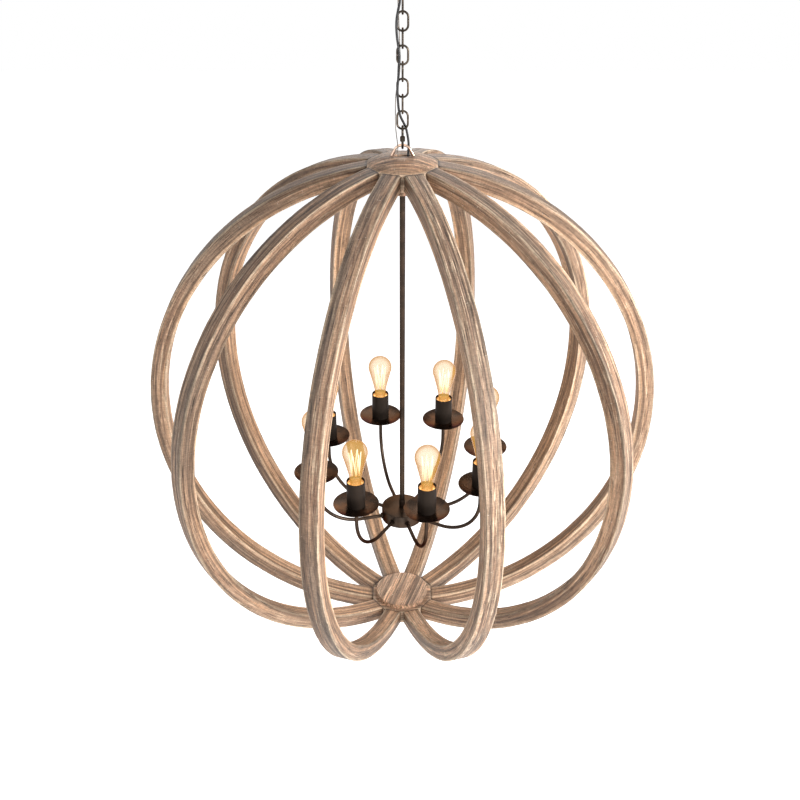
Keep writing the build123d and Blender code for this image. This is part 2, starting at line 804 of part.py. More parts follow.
# ---------------------------------------------------------------- cord and ground wire
# Routes from the globe's stem up to the top pivot, heights from the ceiling. The cord runs in front of
# the chain's left side, passes through the lowest chain link and goes into the hub's slot on the right.
cord_route = [
    (1.1, 0.0, -440.0),
    (1.7, 0.2, -428.0),
    (6.0, 1.4, -413.0),
    (10.8, 2.5, -398.0),
    (11.5, 3.4, -388.5),
    (12.6, 6.9, -377.0),
    (12.8, 7.3, -364.0),
    (10.4, 6.8, -347.0),
    (6.5, 5.7, -329.0),
    (-6.8, -6.4, -301.0),
    (-9.5, -5.4, -273.0),
    (-10.6, -5.3, -249.0),
    (-8.2, -5.4, -224.0),
    (-7.7, -5.2, -203.0),
    (-5.6, -5.3, -185.0),
    (-8.0, -5.2, -167.0),
    (-11.6, -5.4, -145.0),
    (-12.7, -5.3, -116.0),
    (-8.2, -6.6, -92.0),
    (cord_way[0], cord_way[1], ring_low - 9.0),
    (cord_way[0], cord_way[1], ring_low - lead_gap),
]
ground_route = [
    (-2.6, 0.0, -440.0),
    (-2.9, -0.2, -427.0),
    (-6.2, -1.5, -410.0),
    (-8.6, -2.8, -394.0),
    (-9.3, -4.5, -380.0),
    (-9.9, -5.0, -363.0),
    (-12.6, -3.6, -345.0),
    (-14.5, -1.2, -324.0),
    (-14.8, 1.2, -294.0),
    (-14.2, 3.4, -267.0),
    (-11.5, 4.2, -248.0),
    (-7.6, 4.2, -232.0),
    (-5.3, 3.9, -213.0),
    (-4.8, 3.7, -192.0),
    (-5.5, 3.8, -169.0),
    (-6.6, 3.8, -142.0),
    (-7.6, 4.0, -114.0),
    (-8.7, 4.2, -94.0),
    (ground_way[0], ground_way[1], ring_low - 9.0),
    (ground_way[0], ground_way[1], ring_low - lead_gap),
]


def corner_radii(points):
    """Each corner's arc takes 0.45 of its shorter run, divided by the tangent of half the turn."""
    radii = []
    for before, corner, after in zip(points, points[1:], points[2:]):
        into = Vector(*corner) - Vector(*before)
        out = Vector(*after) - Vector(*corner)
        turn = radians(into.get_angle(out))
        radii.append(0.45 * min(into.length, out.length) / tan(turn / 2))
    return radii


def routed_tube(points, diameter, sides):
    """A tube along straight runs joined by tangent arcs."""
    radii = corner_radii(points)
    start = Vector(*points[0])
    heading = Vector(*points[1]) - start
    with BuildPart() as tube:
        with BuildLine() as route:
            FilletPolyline(*points, radius=radii)
        with BuildSketch(Plane(origin=start, z_dir=heading)):
            RegularPolygon(radius=diameter / 2, side_count=sides)
        sweep()
    length = route.wires()[0].length
    section = tube.part.volume / length
    print(f"  route {length:.1f} mm, tightest arc {min(radii):.0f} mm, volume / length {section:.2f} mm2")
    print("  corner radii", [round(radius) for radius in radii])
    return tube.part


save(routed_tube(cord_route, cord_diameter, wire_sides), "supply_cord")
save(routed_tube(ground_route, ground_diameter, 6), "ground_wire")

# leads: the same cord and wire from the top pivot up through the threaded collar into the canopy
cord_lead_route = [
    (cord_way[0], cord_way[1], ring_low),
    (cord_way[0], cord_way[1], -7.5),
    (cord_way[0], -36.0, -7.5),
]
ground_lead_route = [
    (ground_way[0], ground_way[1], ring_low),
    (ground_way[0], ground_way[1], -12.5),
    (-36.0, 14.0, -12.5),
]


def bent_lead(points, diameter, radius, sides):
    """Up through the collar, then one bend into the canopy."""
    start = Vector(*points[0])
    heading = Vector(*points[1]) - start
    with BuildPart() as lead:
        with BuildLine():
            FilletPolyline(*points, radius=radius)
        with BuildSketch(Plane(origin=start, z_dir=heading)):
            RegularPolygon(radius=diameter / 2, side_count=sides)
        sweep()
    return lead.part


lead_parts = [
    bent_lead(cord_lead_route, cord_diameter, 14.0, wire_sides),
    bent_lead(ground_lead_route, ground_diameter, 9.0, 6),
]
save(Compound(lead_parts), "canopy_leads")


def lead_plane(points):
    """Plane at the end of a lead, facing on along it."""
    end = Vector(*points[-1])
    return Plane(origin=end, z_dir=end - Vector(*points[-2]))


with BuildPart() as canopy_connectors:
    with BuildSketch(lead_plane(cord_lead_route)):
        Circle(lead_connector_diameter / 2 * 0.9)
    extrude(amount=lead_connector_length, taper=5)
    with BuildSketch(lead_plane(ground_lead_route)):
        Circle(lead_connector_diameter / 2 * 0.8)
    extrude(amount=lead_connector_length * 0.8, taper=5)
save(canopy_connectors.part, "canopy_connectors")
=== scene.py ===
"""Finishes for the orb chandelier, laid out as an add-on and run as a script.

The frame is in metres: +Z up, the ceiling at Z = 0, the chain down the Z axis and -Y to the viewer.
Heights of the globe are given from its middle, which lies Globe.drop below the ceiling.
"""

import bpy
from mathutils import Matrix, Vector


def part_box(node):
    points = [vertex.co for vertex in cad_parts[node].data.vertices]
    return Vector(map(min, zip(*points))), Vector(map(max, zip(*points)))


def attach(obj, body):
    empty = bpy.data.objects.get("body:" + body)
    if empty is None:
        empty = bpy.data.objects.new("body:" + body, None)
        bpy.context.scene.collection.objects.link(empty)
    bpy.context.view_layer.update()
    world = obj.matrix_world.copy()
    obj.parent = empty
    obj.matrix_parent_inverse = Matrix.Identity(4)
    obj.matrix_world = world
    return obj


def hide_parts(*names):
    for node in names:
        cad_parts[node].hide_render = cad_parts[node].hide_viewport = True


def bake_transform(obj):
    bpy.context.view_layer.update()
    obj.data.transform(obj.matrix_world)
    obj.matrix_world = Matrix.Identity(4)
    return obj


bl_info = {
    "name": "Orb Chandelier",
    "version": (1, 0, 0),
    "blender": (4, 5, 0),
    "location": "View3D > Sidebar > Chandelier",
    "description": "Wooden orb chandelier with eight lamps on a chain",
    "category": "Object",
}

from math import asin, cos, hypot, pi, radians, sin

import bmesh
import bpy
import numpy as np
from bpy.props import FloatProperty, FloatVectorProperty, IntProperty, PointerProperty
from mathutils import Vector

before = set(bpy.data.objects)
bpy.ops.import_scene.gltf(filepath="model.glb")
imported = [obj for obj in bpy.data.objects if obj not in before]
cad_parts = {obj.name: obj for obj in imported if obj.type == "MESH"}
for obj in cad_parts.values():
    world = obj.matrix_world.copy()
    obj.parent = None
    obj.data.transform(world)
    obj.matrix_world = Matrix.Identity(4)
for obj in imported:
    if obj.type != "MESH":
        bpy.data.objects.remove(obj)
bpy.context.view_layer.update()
PAN_WALL = 0.0012  # sheet of the drip pans, on which the cups stand


# ---------------------------------------------------------------- sizes and colours
def length(name, text, default):
    return FloatProperty(name=name, description=text, default=default, unit="LENGTH", precision=5)


def tint(name, text, default):
    return FloatVectorProperty(
        name=name, description=text, default=default, size=3, min=0.0, max=1.0, subtype="COLOR"
    )


class GlobeSizes(bpy.types.PropertyGroup):
    """Sizes of the wooden globe."""

    drop: length("Drop", "Ceiling to the middle of the globe", 1.0)
    ribs: IntProperty(name="Ribs", description="Number of ribs", default=10, min=3)
    outer_radius: length("Rib radius", "Radius of the rib's outer curve", 0.603)
    curve_offset: length("Curve offset", "How far beyond the axis the curve's centre lies", 0.019)
    thickness: length("Rib thickness", "Rib thickness, out from the axis", 0.036)
    width: length("Rib width", "Rib width", 0.040)
    edge: length("Rib edge", "Rounding of the rib's long edges", 0.0020)
    hub_apothem: length("Hub apothem", "Hub axis to flat", 0.074)
    joint_gap: length("Joint gap", "Rib shoulder to hub flat", 0.0003)


class LampSizes(bpy.types.PropertyGroup):
    """Sizes of the lamps, arms and stem."""

    count: IntProperty(name="Lamps", description="Number of lamps", default=8, min=1)
    first_azimuth: FloatProperty(
        name="First lamp", description="Azimuth of the first lamp", default=radians(15.3), subtype="ANGLE"
    )
    ring_radius: length("Lamp ring", "Stem to lamp", 0.211)
    arm_radius: length("Arm radius", "Radius of the arm's tube", 0.00425)
    arm_height: length("Arm height", "Arm's axis where it leaves the box", -0.303)
    arm_bend: length("Arm bend", "Radius of the arm's bend", 0.106)
    pan_radius: length("Pan radius", "Radius of the drip pan", 0.0525)
    pan_floor: length("Pan floor", "Underside of the pan's flat middle", -0.149)
    cup_radius: length("Cup radius", "Outer radius of the socket cup", 0.021)
    cup_height: length("Cup height", "Height of the socket cup", 0.067)
    bulb_radius: length("Bulb radius", "Radius of the bulb's round end", 0.029)
    bulb_above_rim: length("Bulb above rim", "Bulb's tip above the cup's rim", 0.105)
    stem_radius: length("Stem radius", "Radius of the stem", 0.006)
    box_radius: length("Box radius", "Radius of the wiring box", 0.050)
    box_top: length("Box top", "Top of the wiring box", -0.283)
    box_height: length("Box height", "Height of the wiring box", 0.032)


class ChainSizes(bpy.types.PropertyGroup):
    """Sizes of the chain and its loops."""

    wire: length("Link wire", "Wire of the links", 0.0043)
    link_length: length("Link length", "Outer length of a link", 0.0415)
    link_width: length("Link width", "Outer width of a link", 0.026)
    links: IntProperty(name="Links", description="Links below the top link", default=7, min=1)
    gap: length("Contact gap", "Gap between links that touch", 0.0002)
    seam: length("Seam", "Gap where a link's wire ends meet", 0.0012)
    connector_wire: length("Quick link wire", "Wire of the quick link", 0.005)
    connector_length: length("Quick link length", "Outer length of the quick link", 0.0496)
    connector_width: length("Quick link width", "Outer width of the quick link", 0.027)
    connector_gate: length("Quick link gate", "Opening that the sleeve closes", 0.0044)
    cord: length("Cord", "Diameter of the supply cord", 0.005)
    ground: length("Ground wire", "Diameter of the ground wire", 0.002)


class Colours(bpy.types.PropertyGroup):
    """Colours, in linear values."""

    tan: tint("Tan", "Middle tone of the wood", (0.49, 0.310, 0.200))
    brown: tint("Brown", "Warm dark tone of the wood", (0.220, 0.125, 0.078))
    grey: tint("Grey", "Weathered grey of the wood", (0.235, 0.180, 0.138))
    dark: tint("Dark", "Dark streaks in the grain", (0.070, 0.046, 0.033))
    # cream is whitewash, and along the ribs' edges and the hubs' rim it is also a painted highlight
    cream: tint("Cream", "Whitewash left in the grain", (0.68, 0.54, 0.385))
    # peach is bare orange wood, and on the ribs' side and inner faces it also paints warm light
    peach: tint("Peach", "Bare orange wood", (0.62, 0.355, 0.190))
    bronze: tint("Bronze", "Dark oil-rubbed bronze", (0.050, 0.037, 0.029))
    bronze_worn: tint("Worn bronze", "Bronze where it is rubbed", (0.105, 0.068, 0.047))
    copper: tint("Copper", "Hanging loop", (0.66, 0.47, 0.36))


GROUPS = {
    "chandelier_globe": GlobeSizes,
    "chandelier_lamps": LampSizes,
    "chandelier_chain": ChainSizes,
    "chandelier_colours": Colours,
}


# ---------------------------------------------------------------- shader maths
class Value:
    """A shader socket in an expression: each operator adds the Math node that it stands for."""

    def __init__(self, finish, socket):
        self.finish = finish
        self.socket = socket

    def math(self, operation, *values):
        inputs = {number: value for number, value in enumerate(values)}
        return self.finish.node("Math", {"operation": operation}, inputs)

    def __add__(self, other):
        return self.math("ADD", self, other)

    def __radd__(self, other):
        return self.math("ADD", other, self)

    def __sub__(self, other):
        return self.math("SUBTRACT", self, other)

    def __rsub__(self, other):
        return self.math("SUBTRACT", other, self)

    def __mul__(self, other):
        return self.math("MULTIPLY", self, other)

    def __rmul__(self, other):
        return self.math("MULTIPLY", other, self)

    def __truediv__(self, other):
        return self.math("DIVIDE", self, other)

    def __pow__(self, other):
        return self.math("POWER", self, other)

    def step(self, low, high, start=0.0, end=1.0):
        """Smooth step from start to end as the value goes from low to high."""
        settings = {"interpolation_type": "SMOOTHSTEP"}
        inputs = {"Value": self, "From Min": low, "From Max": high, "To Min": start, "To Max": end}
        return self.finish.node("MapRange", settings, inputs)


class Finish:
    """A node material: node() adds one node and gives its output as a Value."""

    def __init__(self, name):
        self.material = bpy.data.materials.new(name)
        self.material.use_nodes = True
        self.tree = self.material.node_tree
        self.tree.nodes.clear()

    def node(self, kind, settings=None, inputs=None, output=0):
        node = self.tree.nodes.new("ShaderNode" + kind)
        for key, value in (settings or {}).items():
            setattr(node, key, value)
        for key, value in (inputs or {}).items():
            if isinstance(value, Value):
                self.tree.links.new(value.socket, node.inputs[key])
            else:
                node.inputs[key].default_value = value
        return Value(self, node.outputs[output])

    def parts(self, kind, name):
        """The three numbers of a texture coordinate or of an attribute's vector."""
        source = self.node(kind, None, None, name)
        split = self.tree.nodes.new("ShaderNodeSeparateXYZ")
        self.tree.links.new(source.socket, split.inputs[0])
        return [Value(self, split.outputs[number]) for number in range(3)]

    def attribute(self, name):
        return self.node("Attribute", {"attribute_name": name}, None, "Fac")

    def point(self, x, y, z):
        return self.node("CombineXYZ", None, {"X": x, "Y": y, "Z": z})

    def noise(self, where, scale=1.0, detail=3.0, roughness=0.55):
        inputs = {"Vector": where, "Scale": scale, "Detail": detail, "Roughness": roughness}
        return self.node("TexNoise", None, inputs, "Fac")

    def mix(self, factor, first, second, blend="MIX"):
        """Colour that goes from first to second."""

        def colour(value):
            return value if isinstance(value, Value) else (*value, 1.0)

        settings = {"data_type": "RGBA", "blend_type": blend}
        return self.node("Mix", settings, {0: factor, 6: colour(first), 7: colour(second)}, 2)

    def bump(self, height, strength, distance):
        return self.node("Bump", None, {"Height": height, "Strength": strength, "Distance": distance})

    def principled(self, **inputs):
        """The surface: names of its sockets have underscores for spaces."""
        named = {key.replace("_", " "): value for key, value in inputs.items()}
        for key in ("Base Color", "Emission Color", "Specular Tint"):
            if key in named and not isinstance(named[key], Value):
                named[key] = (*named[key], 1.0)
        shader = self.node("BsdfPrincipled", None, named)
        output = self.tree.nodes.new("ShaderNodeOutputMaterial")
        self.tree.links.new(shader.socket, output.inputs["Surface"])
        return self.material


# ---------------------------------------------------------------- finishes
def wood_finish(
    finish, along, across, depth, seed, side=0.0, edge=0.0, end=0.0, wash_and_highlight=1.0, painted_glow_and_bare_wood=0.0, tone=1.0
):
    """Wire-brushed, greyed and whitewashed wood. along, across and depth are places in the wood in
    metres; side, edge and end are marks from 0 to 1. side and the peach mark tint the side and inner
    faces peach: partly bare orange wood, partly painted warm light from the bulbs and the front. edge
    lays cream along the edges, partly wear and partly a painted highlight; end is painted shade in the
    joint at a rib's end; the wash mark scales the whitewash and on the ribs also carries a painted
    highlight; tone makes the whole piece paler or darker."""
    colours = bpy.context.scene.chandelier_colours

    def streaks(length, width, shift, detail=4.0, roughness=0.6):
        where = finish.point(along / length, across / width, depth / width + seed + shift)
        return finish.noise(where, 1.0, detail, roughness)

    drift = streaks(0.45, 0.06, 0.0, 2.0)
    board = streaks(0.34, 0.012, 5.0)
    band = streaks(0.55, 0.0085, 71.0, 2.5)
    streak = streaks(0.075, 0.0050, 9.0, 5.0, 0.66)
    pale = streaks(0.060, 0.0036, 21.0, 5.0, 0.70)
    grain = streaks(0.022, 0.0009, 33.0, 4.0, 0.75)
    orange = streaks(0.10, 0.007, 45.0, 4.0, 0.65)
    crack = streaks(0.050, 0.0019, 57.0, 3.0)
    scratch = finish.noise(finish.point(along * 380.0, across * 70.0, depth * 70.0 + seed), 1.0, 3.0)
    patch = finish.noise(finish.point(along * 22.0, across * 40.0, depth * 40.0 + seed + 3.0), 1.0, 3.0)
    nick = finish.noise(finish.point(along * 420.0, across * 95.0, depth * 95.0 + seed), 1.0, 2.0)

    colour = finish.mix(board.step(0.36, 0.64), colours.brown, colours.tan)
    colour = finish.mix(drift.step(0.40, 0.66, 0.0, 0.6), colour, colours.grey)
    colour = finish.mix(orange.step(0.50, 0.66, 0.0, 0.55) * (0.35 + painted_glow_and_bare_wood), colour, colours.peach)
    colour = finish.mix(streak.step(0.47, 0.64, 0.0, 0.74), colour, colours.dark)
    # pale_mask lays whitewash; on the ribs the wash value also carries a painted highlight
    pale_mask = pale.step(0.50, 0.64, 0.0, 0.85) * patch.step(0.36, 0.60, 0.35, 1.0) * wash_and_highlight
    colour = finish.mix(pale_mask * band.step(0.42, 0.60, 0.45, 1.0), colour, colours.cream)
    # side and inner faces tinted peach: partly bare orange wood, partly painted warm light from the bulbs
    # and the front
    colour = finish.mix(side * 0.12 + painted_glow_and_bare_wood * 0.26, colour, colours.peach)
    # cream along the edges: partly worn edges, partly a painted highlight on the eased edges of the ribs
    # and the rim of the hubs
    colour = finish.mix(edge * pale.step(0.36, 0.58, 0.15, 0.85), colour, colours.cream)
    colour = finish.mix(crack.step(0.60, 0.66, 0.0, 0.85), colour, (0.030, 0.021, 0.016))
    colour = finish.mix(nick.step(0.71, 0.74, 0.0, 0.7), colour, (0.80, 0.70, 0.56))
    shade = grain.step(0.30, 0.70, 0.70, 1.30) * scratch.step(0.3, 0.7, 0.86, 1.14)
    shade = shade * band.step(0.36, 0.64, 0.52, 1.36) * tone
    colour = finish.mix(1.0, colour, finish.point(shade, shade, shade), "MULTIPLY")
    # painted shade in the joint: the rib darkens to near black at its ends, where it meets the hub
    colour = finish.mix(end * 0.9, colour, (0.028, 0.020, 0.015))
    relief = grain * 0.5 + streak * 0.3 - crack.step(0.58, 0.66) * 0.7 - nick.step(0.68, 0.73) * 0.4
    relief = relief + scratch * 0.15
    return finish.principled(
        Base_Color=colour,
        Roughness=grain.step(0.3, 0.7, 0.46, 0.70),
        Specular_IOR_Level=0.42,
        Normal=finish.bump(relief, 0.8, 0.0015),
    )


def rib_wood():
    """Wood with its grain along the rib: the UV map holds metres along and round the rib."""
    finish = Finish("weathered_ribs")
    along, across, _ = finish.parts("TexCoord", "UV")
    side = finish.attribute("side")
    edge = finish.attribute("edge")
    end = finish.attribute("end")
    wash_and_highlight = finish.attribute("wash_and_highlight")
    painted_glow_and_bare_wood = finish.attribute("painted_glow_and_bare_wood")
    return wood_finish(finish, along, across, wash_and_highlight * 0.1, 0.0, side, edge, end, wash_and_highlight, painted_glow_and_bare_wood)


def hub_wood(edge_radius):
    """Turned or sawn blocks with the grain along X, paler at the rim."""
    finish = Finish("weathered_hubs")
    x, y, z = finish.parts("TexCoord", "Object")
    reach = (x * x + y * y) ** 0.5
    # paler rim: partly wear, partly a painted highlight where the rounded rim would catch the light
    edge = reach.step(edge_radius - 0.006, edge_radius, 0.0, 0.6)
    return wood_finish(finish, x * 0.8, y, z * 0.6, 3.0, 0.0, edge, 0.0, 0.35, 0.32, 1.34)


def disc_wood():
    """Inner discs with the grain slanting across them."""
    finish = Finish("brushed_discs")
    x, y, z = finish.parts("TexCoord", "Object")
    along = x * 0.30 + y * 0.95
    across = x * 0.95 - y * 0.30
    return wood_finish(finish, along, across, z * 0.6, 11.0, 0.0, 0.0, 0.0, 0.55, 0.20, 1.80)


def bronze(name, base, worn, roughness, metallic=1.0, rub=0.5):
    """Oil-rubbed bronze: dark, with worn warmer patches and a fine brushed grain."""
    finish = Finish(name)
    x, y, z = finish.parts("TexCoord", "Object")
    where = finish.point(x, y, z)
    cloud = finish.noise(where, 28.0, 3.0)
    fleck = finish.noise(where, 900.0, 3.0)
    brushed = finish.noise(finish.point(x * 0.5, y * 0.5, z * 3.0), 700.0, 2.0)
    colour = finish.mix(cloud.step(0.42, 0.72, 0.0, rub), base, worn)
    colour = finish.mix(fleck.step(0.62, 0.72, 0.0, 0.35), colour, worn)
    return finish.principled(
        Base_Color=colour,
        Metallic=metallic,
        Specular_IOR_Level=0.25,
        Specular_Tint=(0.34, 0.23, 0.17),
        Roughness=cloud.step(0.3, 0.7, roughness - 0.05, roughness + 0.09),
        Normal=finish.bump(brushed * 0.5 + fleck * 0.5, 0.12, 0.0003),
    )


def zinc():
    """Plated steel hardware with a faint mottle."""
    finish = Finish("plated_steel")
    x, y, z = finish.parts("TexCoord", "Object")
    cloud = finish.noise(finish.point(x, y, z), 90.0, 3.0)
    colour = finish.mix(cloud, (0.42, 0.41, 0.38), (0.62, 0.61, 0.57))
    return finish.principled(Base_Color=colour, Metallic=1.0, Roughness=cloud.step(0.3, 0.7, 0.25, 0.4))


def moulded(name, dark, light, roughness):
    """Moulded plastic or rubber with a fine matt texture."""
    finish = Finish(name)
    x, y, z = finish.parts("TexCoord", "Object")
    fine = finish.noise(finish.point(x, y, z), 1400.0, 2.0)
    cloud = finish.noise(finish.point(x, y, z), 60.0, 2.0)
    colour = finish.mix(cloud, dark, light)
    return finish.principled(
        Base_Color=colour, Roughness=roughness, Normal=finish.bump(fine, 0.15, 0.0002)
    )


def shell_brass(painted_glow):
    """Brass of the screw shells and caps, with a painted warm glow for the light of the lamp above it."""
    finish = Finish("rolled_brass")
    x, y, z = finish.parts("TexCoord", "Object")
    cloud = finish.noise(finish.point(x, y, z), 160.0, 3.0)
    colour = finish.mix(cloud, (0.60, 0.26, 0.07), (0.80, 0.42, 0.14))
    return finish.principled(
        Base_Color=colour,
        Metallic=1.0,
        Roughness=cloud.step(0.3, 0.7, 0.22, 0.36),
        # painted glow: the lamp's warm light on the brass, laid in as emission
        Emission_Color=(1.0, 0.55, 0.2),
        Emission_Strength=painted_glow,
    )


def bulb_glass():
    """Clear glass with an amber tint, denser where it turns away, and the glow of the filament in it."""
    finish = Finish("amber_glass")
    turn = finish.node("LayerWeight", None, {"Blend": 0.42}, "Facing")
    x, y, z = finish.parts("TexCoord", "Object")
    ripple = finish.noise(finish.point(x, y, z), 45.0, 2.0)
    rim = turn.step(0.0, 0.85)
    return finish.principled(
        Base_Color=finish.mix(rim, (0.09, 0.055, 0.02), (0.07, 0.035, 0.01)),
        Alpha=turn.step(0.05, 1.0, 0.20, 0.60),
        Roughness=0.04,
        Specular_IOR_Level=0.10,
        Emission_Color=finish.mix(rim, (0.82, 0.47, 0.11), (0.42, 0.17, 0.02)),
        Emission_Strength=1.0,
        Normal=finish.bump(ripple, 0.05, 0.001),
    )


def filament_glow(low, high):
    """Glowing wire: white-hot above and orange at the lower bends."""
    finish = Finish("filament")
    _, _, z = finish.parts("TexCoord", "Object")
    heat = z.step(low, high)
    colour = finish.mix(heat, (0.75, 0.26, 0.05), (1.0, 0.86, 0.58))
    return finish.principled(
        Base_Color=(0.2, 0.1, 0.05), Emission_Color=colour, Emission_Strength=2.6, Roughness=0.6
    )


def stem_glass():
    """Pressed glass of the filament's stem, with a painted warm glow for the filament's light on it."""
    finish = Finish("stem_glass")
    turn = finish.node("LayerWeight", None, {"Blend": 0.5}, "Facing")
    return finish.principled(
        Base_Color=finish.mix(turn, (0.30, 0.22, 0.13), (0.16, 0.10, 0.05)),
        Alpha=turn * 0.35 + 0.06,
        Roughness=0.06,
        # painted glow: the filament's light on the stem, laid in as emission
        Emission_Color=(1.0, 0.60, 0.25),
        Emission_Strength=0.3,
    )


# ---------------------------------------------------------------- surfaces
def sheet_faces(rows, columns, start):
    """Four corners of every cell of a grid of points, as indices."""
    first = start + np.arange(rows - 1)[:, None] * columns + np.arange(columns - 1)[None, :]
    return np.stack([first, first + 1, first + columns + 1, first + columns], axis=-1).reshape(-1, 4)


def piece(name, sheets, material, body, nodes, smooth=40.0, marks=None):
    """One object from grids of points. A sheet is its points and its UV, both with rows and columns.

    Rows or columns that meet are merged, so a closed form has no seam and no open pole.
    """
    points = np.concatenate([sheet[0].reshape(-1, 3) for sheet in sheets])
    uv = np.concatenate([sheet[1].reshape(-1, 2) for sheet in sheets])
    faces = []
    start = 0
    for sheet in sheets:
        rows, columns = sheet[0].shape[:2]
        faces.append(sheet_faces(rows, columns, start))
        start += rows * columns
    faces = np.concatenate(faces)
    mesh = bpy.data.meshes.new(name)
    mesh.from_pydata(points, [], faces)
    layer = mesh.uv_layers.new(name="metres")
    layer.data.foreach_set("uv", uv[faces.ravel()].ravel())
    for key, values in (marks or {}).items():
        mark = mesh.attributes.new(key, "FLOAT", "POINT")
        mark.data.foreach_set("value", np.concatenate([value.ravel() for value in values]))
    work = bmesh.new()
    work.from_mesh(mesh)
    bmesh.ops.remove_doubles(work, verts=work.verts, dist=1e-6)
    bmesh.ops.recalc_face_normals(work, faces=work.faces)
    work.to_mesh(mesh)
    work.free()
    mesh.shade_smooth()
    mesh.set_sharp_from_angle(angle=radians(smooth))
    mesh.materials.append(material)
    item = bpy.data.objects.new(name, mesh)
    bpy.context.scene.collection.objects.link(item)
    if body:
        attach(item, body)
    if nodes:
        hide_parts(*nodes)
    return item


def run_along(path):
    """Distance along a path to each of its points."""
    return np.concatenate([[0.0], np.cumsum(np.linalg.norm(np.diff(path, axis=0), axis=1))])


def headings(path):
    """Unit direction of a path at each of its points."""
    heading = np.gradient(path, axis=0)
    return heading / np.linalg.norm(heading, axis=1, keepdims=True)


def spread(rows, columns, along, across):
    """UV in metres for a grid: along for its rows and across for its columns."""
    return np.stack(np.broadcast_arrays(np.reshape(along, (rows, 1)), np.reshape(across, (1, columns))), -1)


def turned(profile, centre=(0.0, 0.0), segments=64):
    """Surface of revolution: each profile point (radius, height) goes round an upright axis."""
    profile = np.asarray(profile, float)
    turn = np.linspace(0.0, 2 * pi, segments + 1)
    radius = profile[:, :1]
    points = np.stack(
        [
            centre[0] + radius * np.cos(turn),
            centre[1] + radius * np.sin(turn),
            np.broadcast_to(profile[:, 1:], (len(profile), segments + 1)),
        ],
        axis=-1,
    )
    return points, spread(len(profile), segments + 1, run_along(profile), turn * profile[:, 0].max())


def arc(centre, radius, start, end, steps=8):
    """Points on a circle from one angle to another."""
    angle = np.linspace(radians(start), radians(end), steps)
    return np.stack([centre[0] + radius * np.cos(angle), centre[1] + radius * np.sin(angle)], -1)


def arc_through(first, middle, last, steps=16):
    """Points on the circle through three points: its centre is as far from each of them."""
    rows = 2 * np.array([np.subtract(middle, first), np.subtract(last, first)])
    squares = [np.dot(middle, middle) - np.dot(first, first), np.dot(last, last) - np.dot(first, first)]
    centre = np.linalg.solve(rows, squares)
    radius = np.linalg.norm(np.subtract(first, centre))
    bearings = [np.arctan2(*(np.subtract(point, centre)[::-1])) for point in (first, middle, last)]
    bearings = np.unwrap(bearings)
    angle = np.linspace(bearings[0], bearings[2], steps)
    return np.stack([centre[0] + radius * np.cos(angle), centre[1] + radius * np.sin(angle)], -1)


def eased(corners, radius, steps=4):
    """Polyline with each inner corner cut by a curve that blends its two runs."""
    corners = np.asarray(corners, float)
    out = [corners[:1]]
    for before, corner, after in zip(corners, corners[1:], corners[2:]):
        into = before - corner
        onward = after - corner
        reach = min(radius, 0.45 * np.linalg.norm(into), 0.45 * np.linalg.norm(onward))
        start = corner + into / np.linalg.norm(into) * reach
        end = corner + onward / np.linalg.norm(onward) * reach
        t = np.linspace(0.0, 1.0, steps + 1)[:, None]
        out.append((1 - t) ** 2 * start + 2 * t * (1 - t) * corner + t**2 * end)
    out.append(corners[-1:])
    return np.concatenate(out)


def flat_tube(path, half_width, half_depth, x_axis, y_axis, origin, sides=20, square=1.0):
    """Tube along a path in a plane. The section is a superellipse: its half width lies in the plane
    across the path and its half depth is square to the plane, and both may change along the path."""
    path = np.asarray(path, float)
    heading = headings(path)
    across = np.stack([-heading[:, 1], heading[:, 0]], -1)
    turn = np.linspace(0.0, 2 * pi, sides + 1)
    swell = np.sign(np.cos(turn)) * np.abs(np.cos(turn)) ** square
    rise = np.sign(np.sin(turn)) * np.abs(np.sin(turn)) ** square
    half_width = np.broadcast_to(half_width, len(path))[:, None]
    half_depth = np.broadcast_to(half_depth, len(path))[:, None]
    x_axis, y_axis, origin = (np.asarray(item, float) for item in (x_axis, y_axis, origin))
    normal = np.cross(x_axis, y_axis)
    flat = path[:, None, :] + across[:, None, :] * (half_width * swell)[..., None]
    points = origin + flat[..., :1] * x_axis + flat[..., 1:] * y_axis
    points = points + normal * (half_depth * rise)[..., None]
    middle = origin + path[:, :1] * x_axis + path[:, 1:] * y_axis
    first = np.broadcast_to(middle[0], points[:1].shape)
    last = np.broadcast_to(middle[-1], points[-1:].shape)
    points = np.concatenate([first, points, last])
    run = run_along(path)
    run = np.concatenate([run[:1], run, run[-1:]])
    return points, spread(len(points), sides + 1, run, turn * float(half_width.max()))


def lamp_bearings():
    """Bearing of each lamp round the stem."""
    lamps = bpy.context.scene.chandelier_lamps
    return [lamps.first_azimuth + number * 2 * pi / lamps.count for number in range(lamps.count)]


def lamp_centres():
    lamps = bpy.context.scene.chandelier_lamps
    return [(lamps.ring_radius * cos(turn), lamps.ring_radius * sin(turn)) for turn in lamp_bearings()]


def cup_rim():
    """Height of the cups' rims from the globe's middle."""
    lamps = bpy.context.scene.chandelier_lamps
    return lamps.pan_floor + PAN_WALL + lamps.cup_height


def dress(nodes, material):
    """Give CAD nodes that keep their own shape a finish."""
    for node in nodes:
        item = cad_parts[node]
        item.data.materials.clear()
        item.data.materials.append(material)


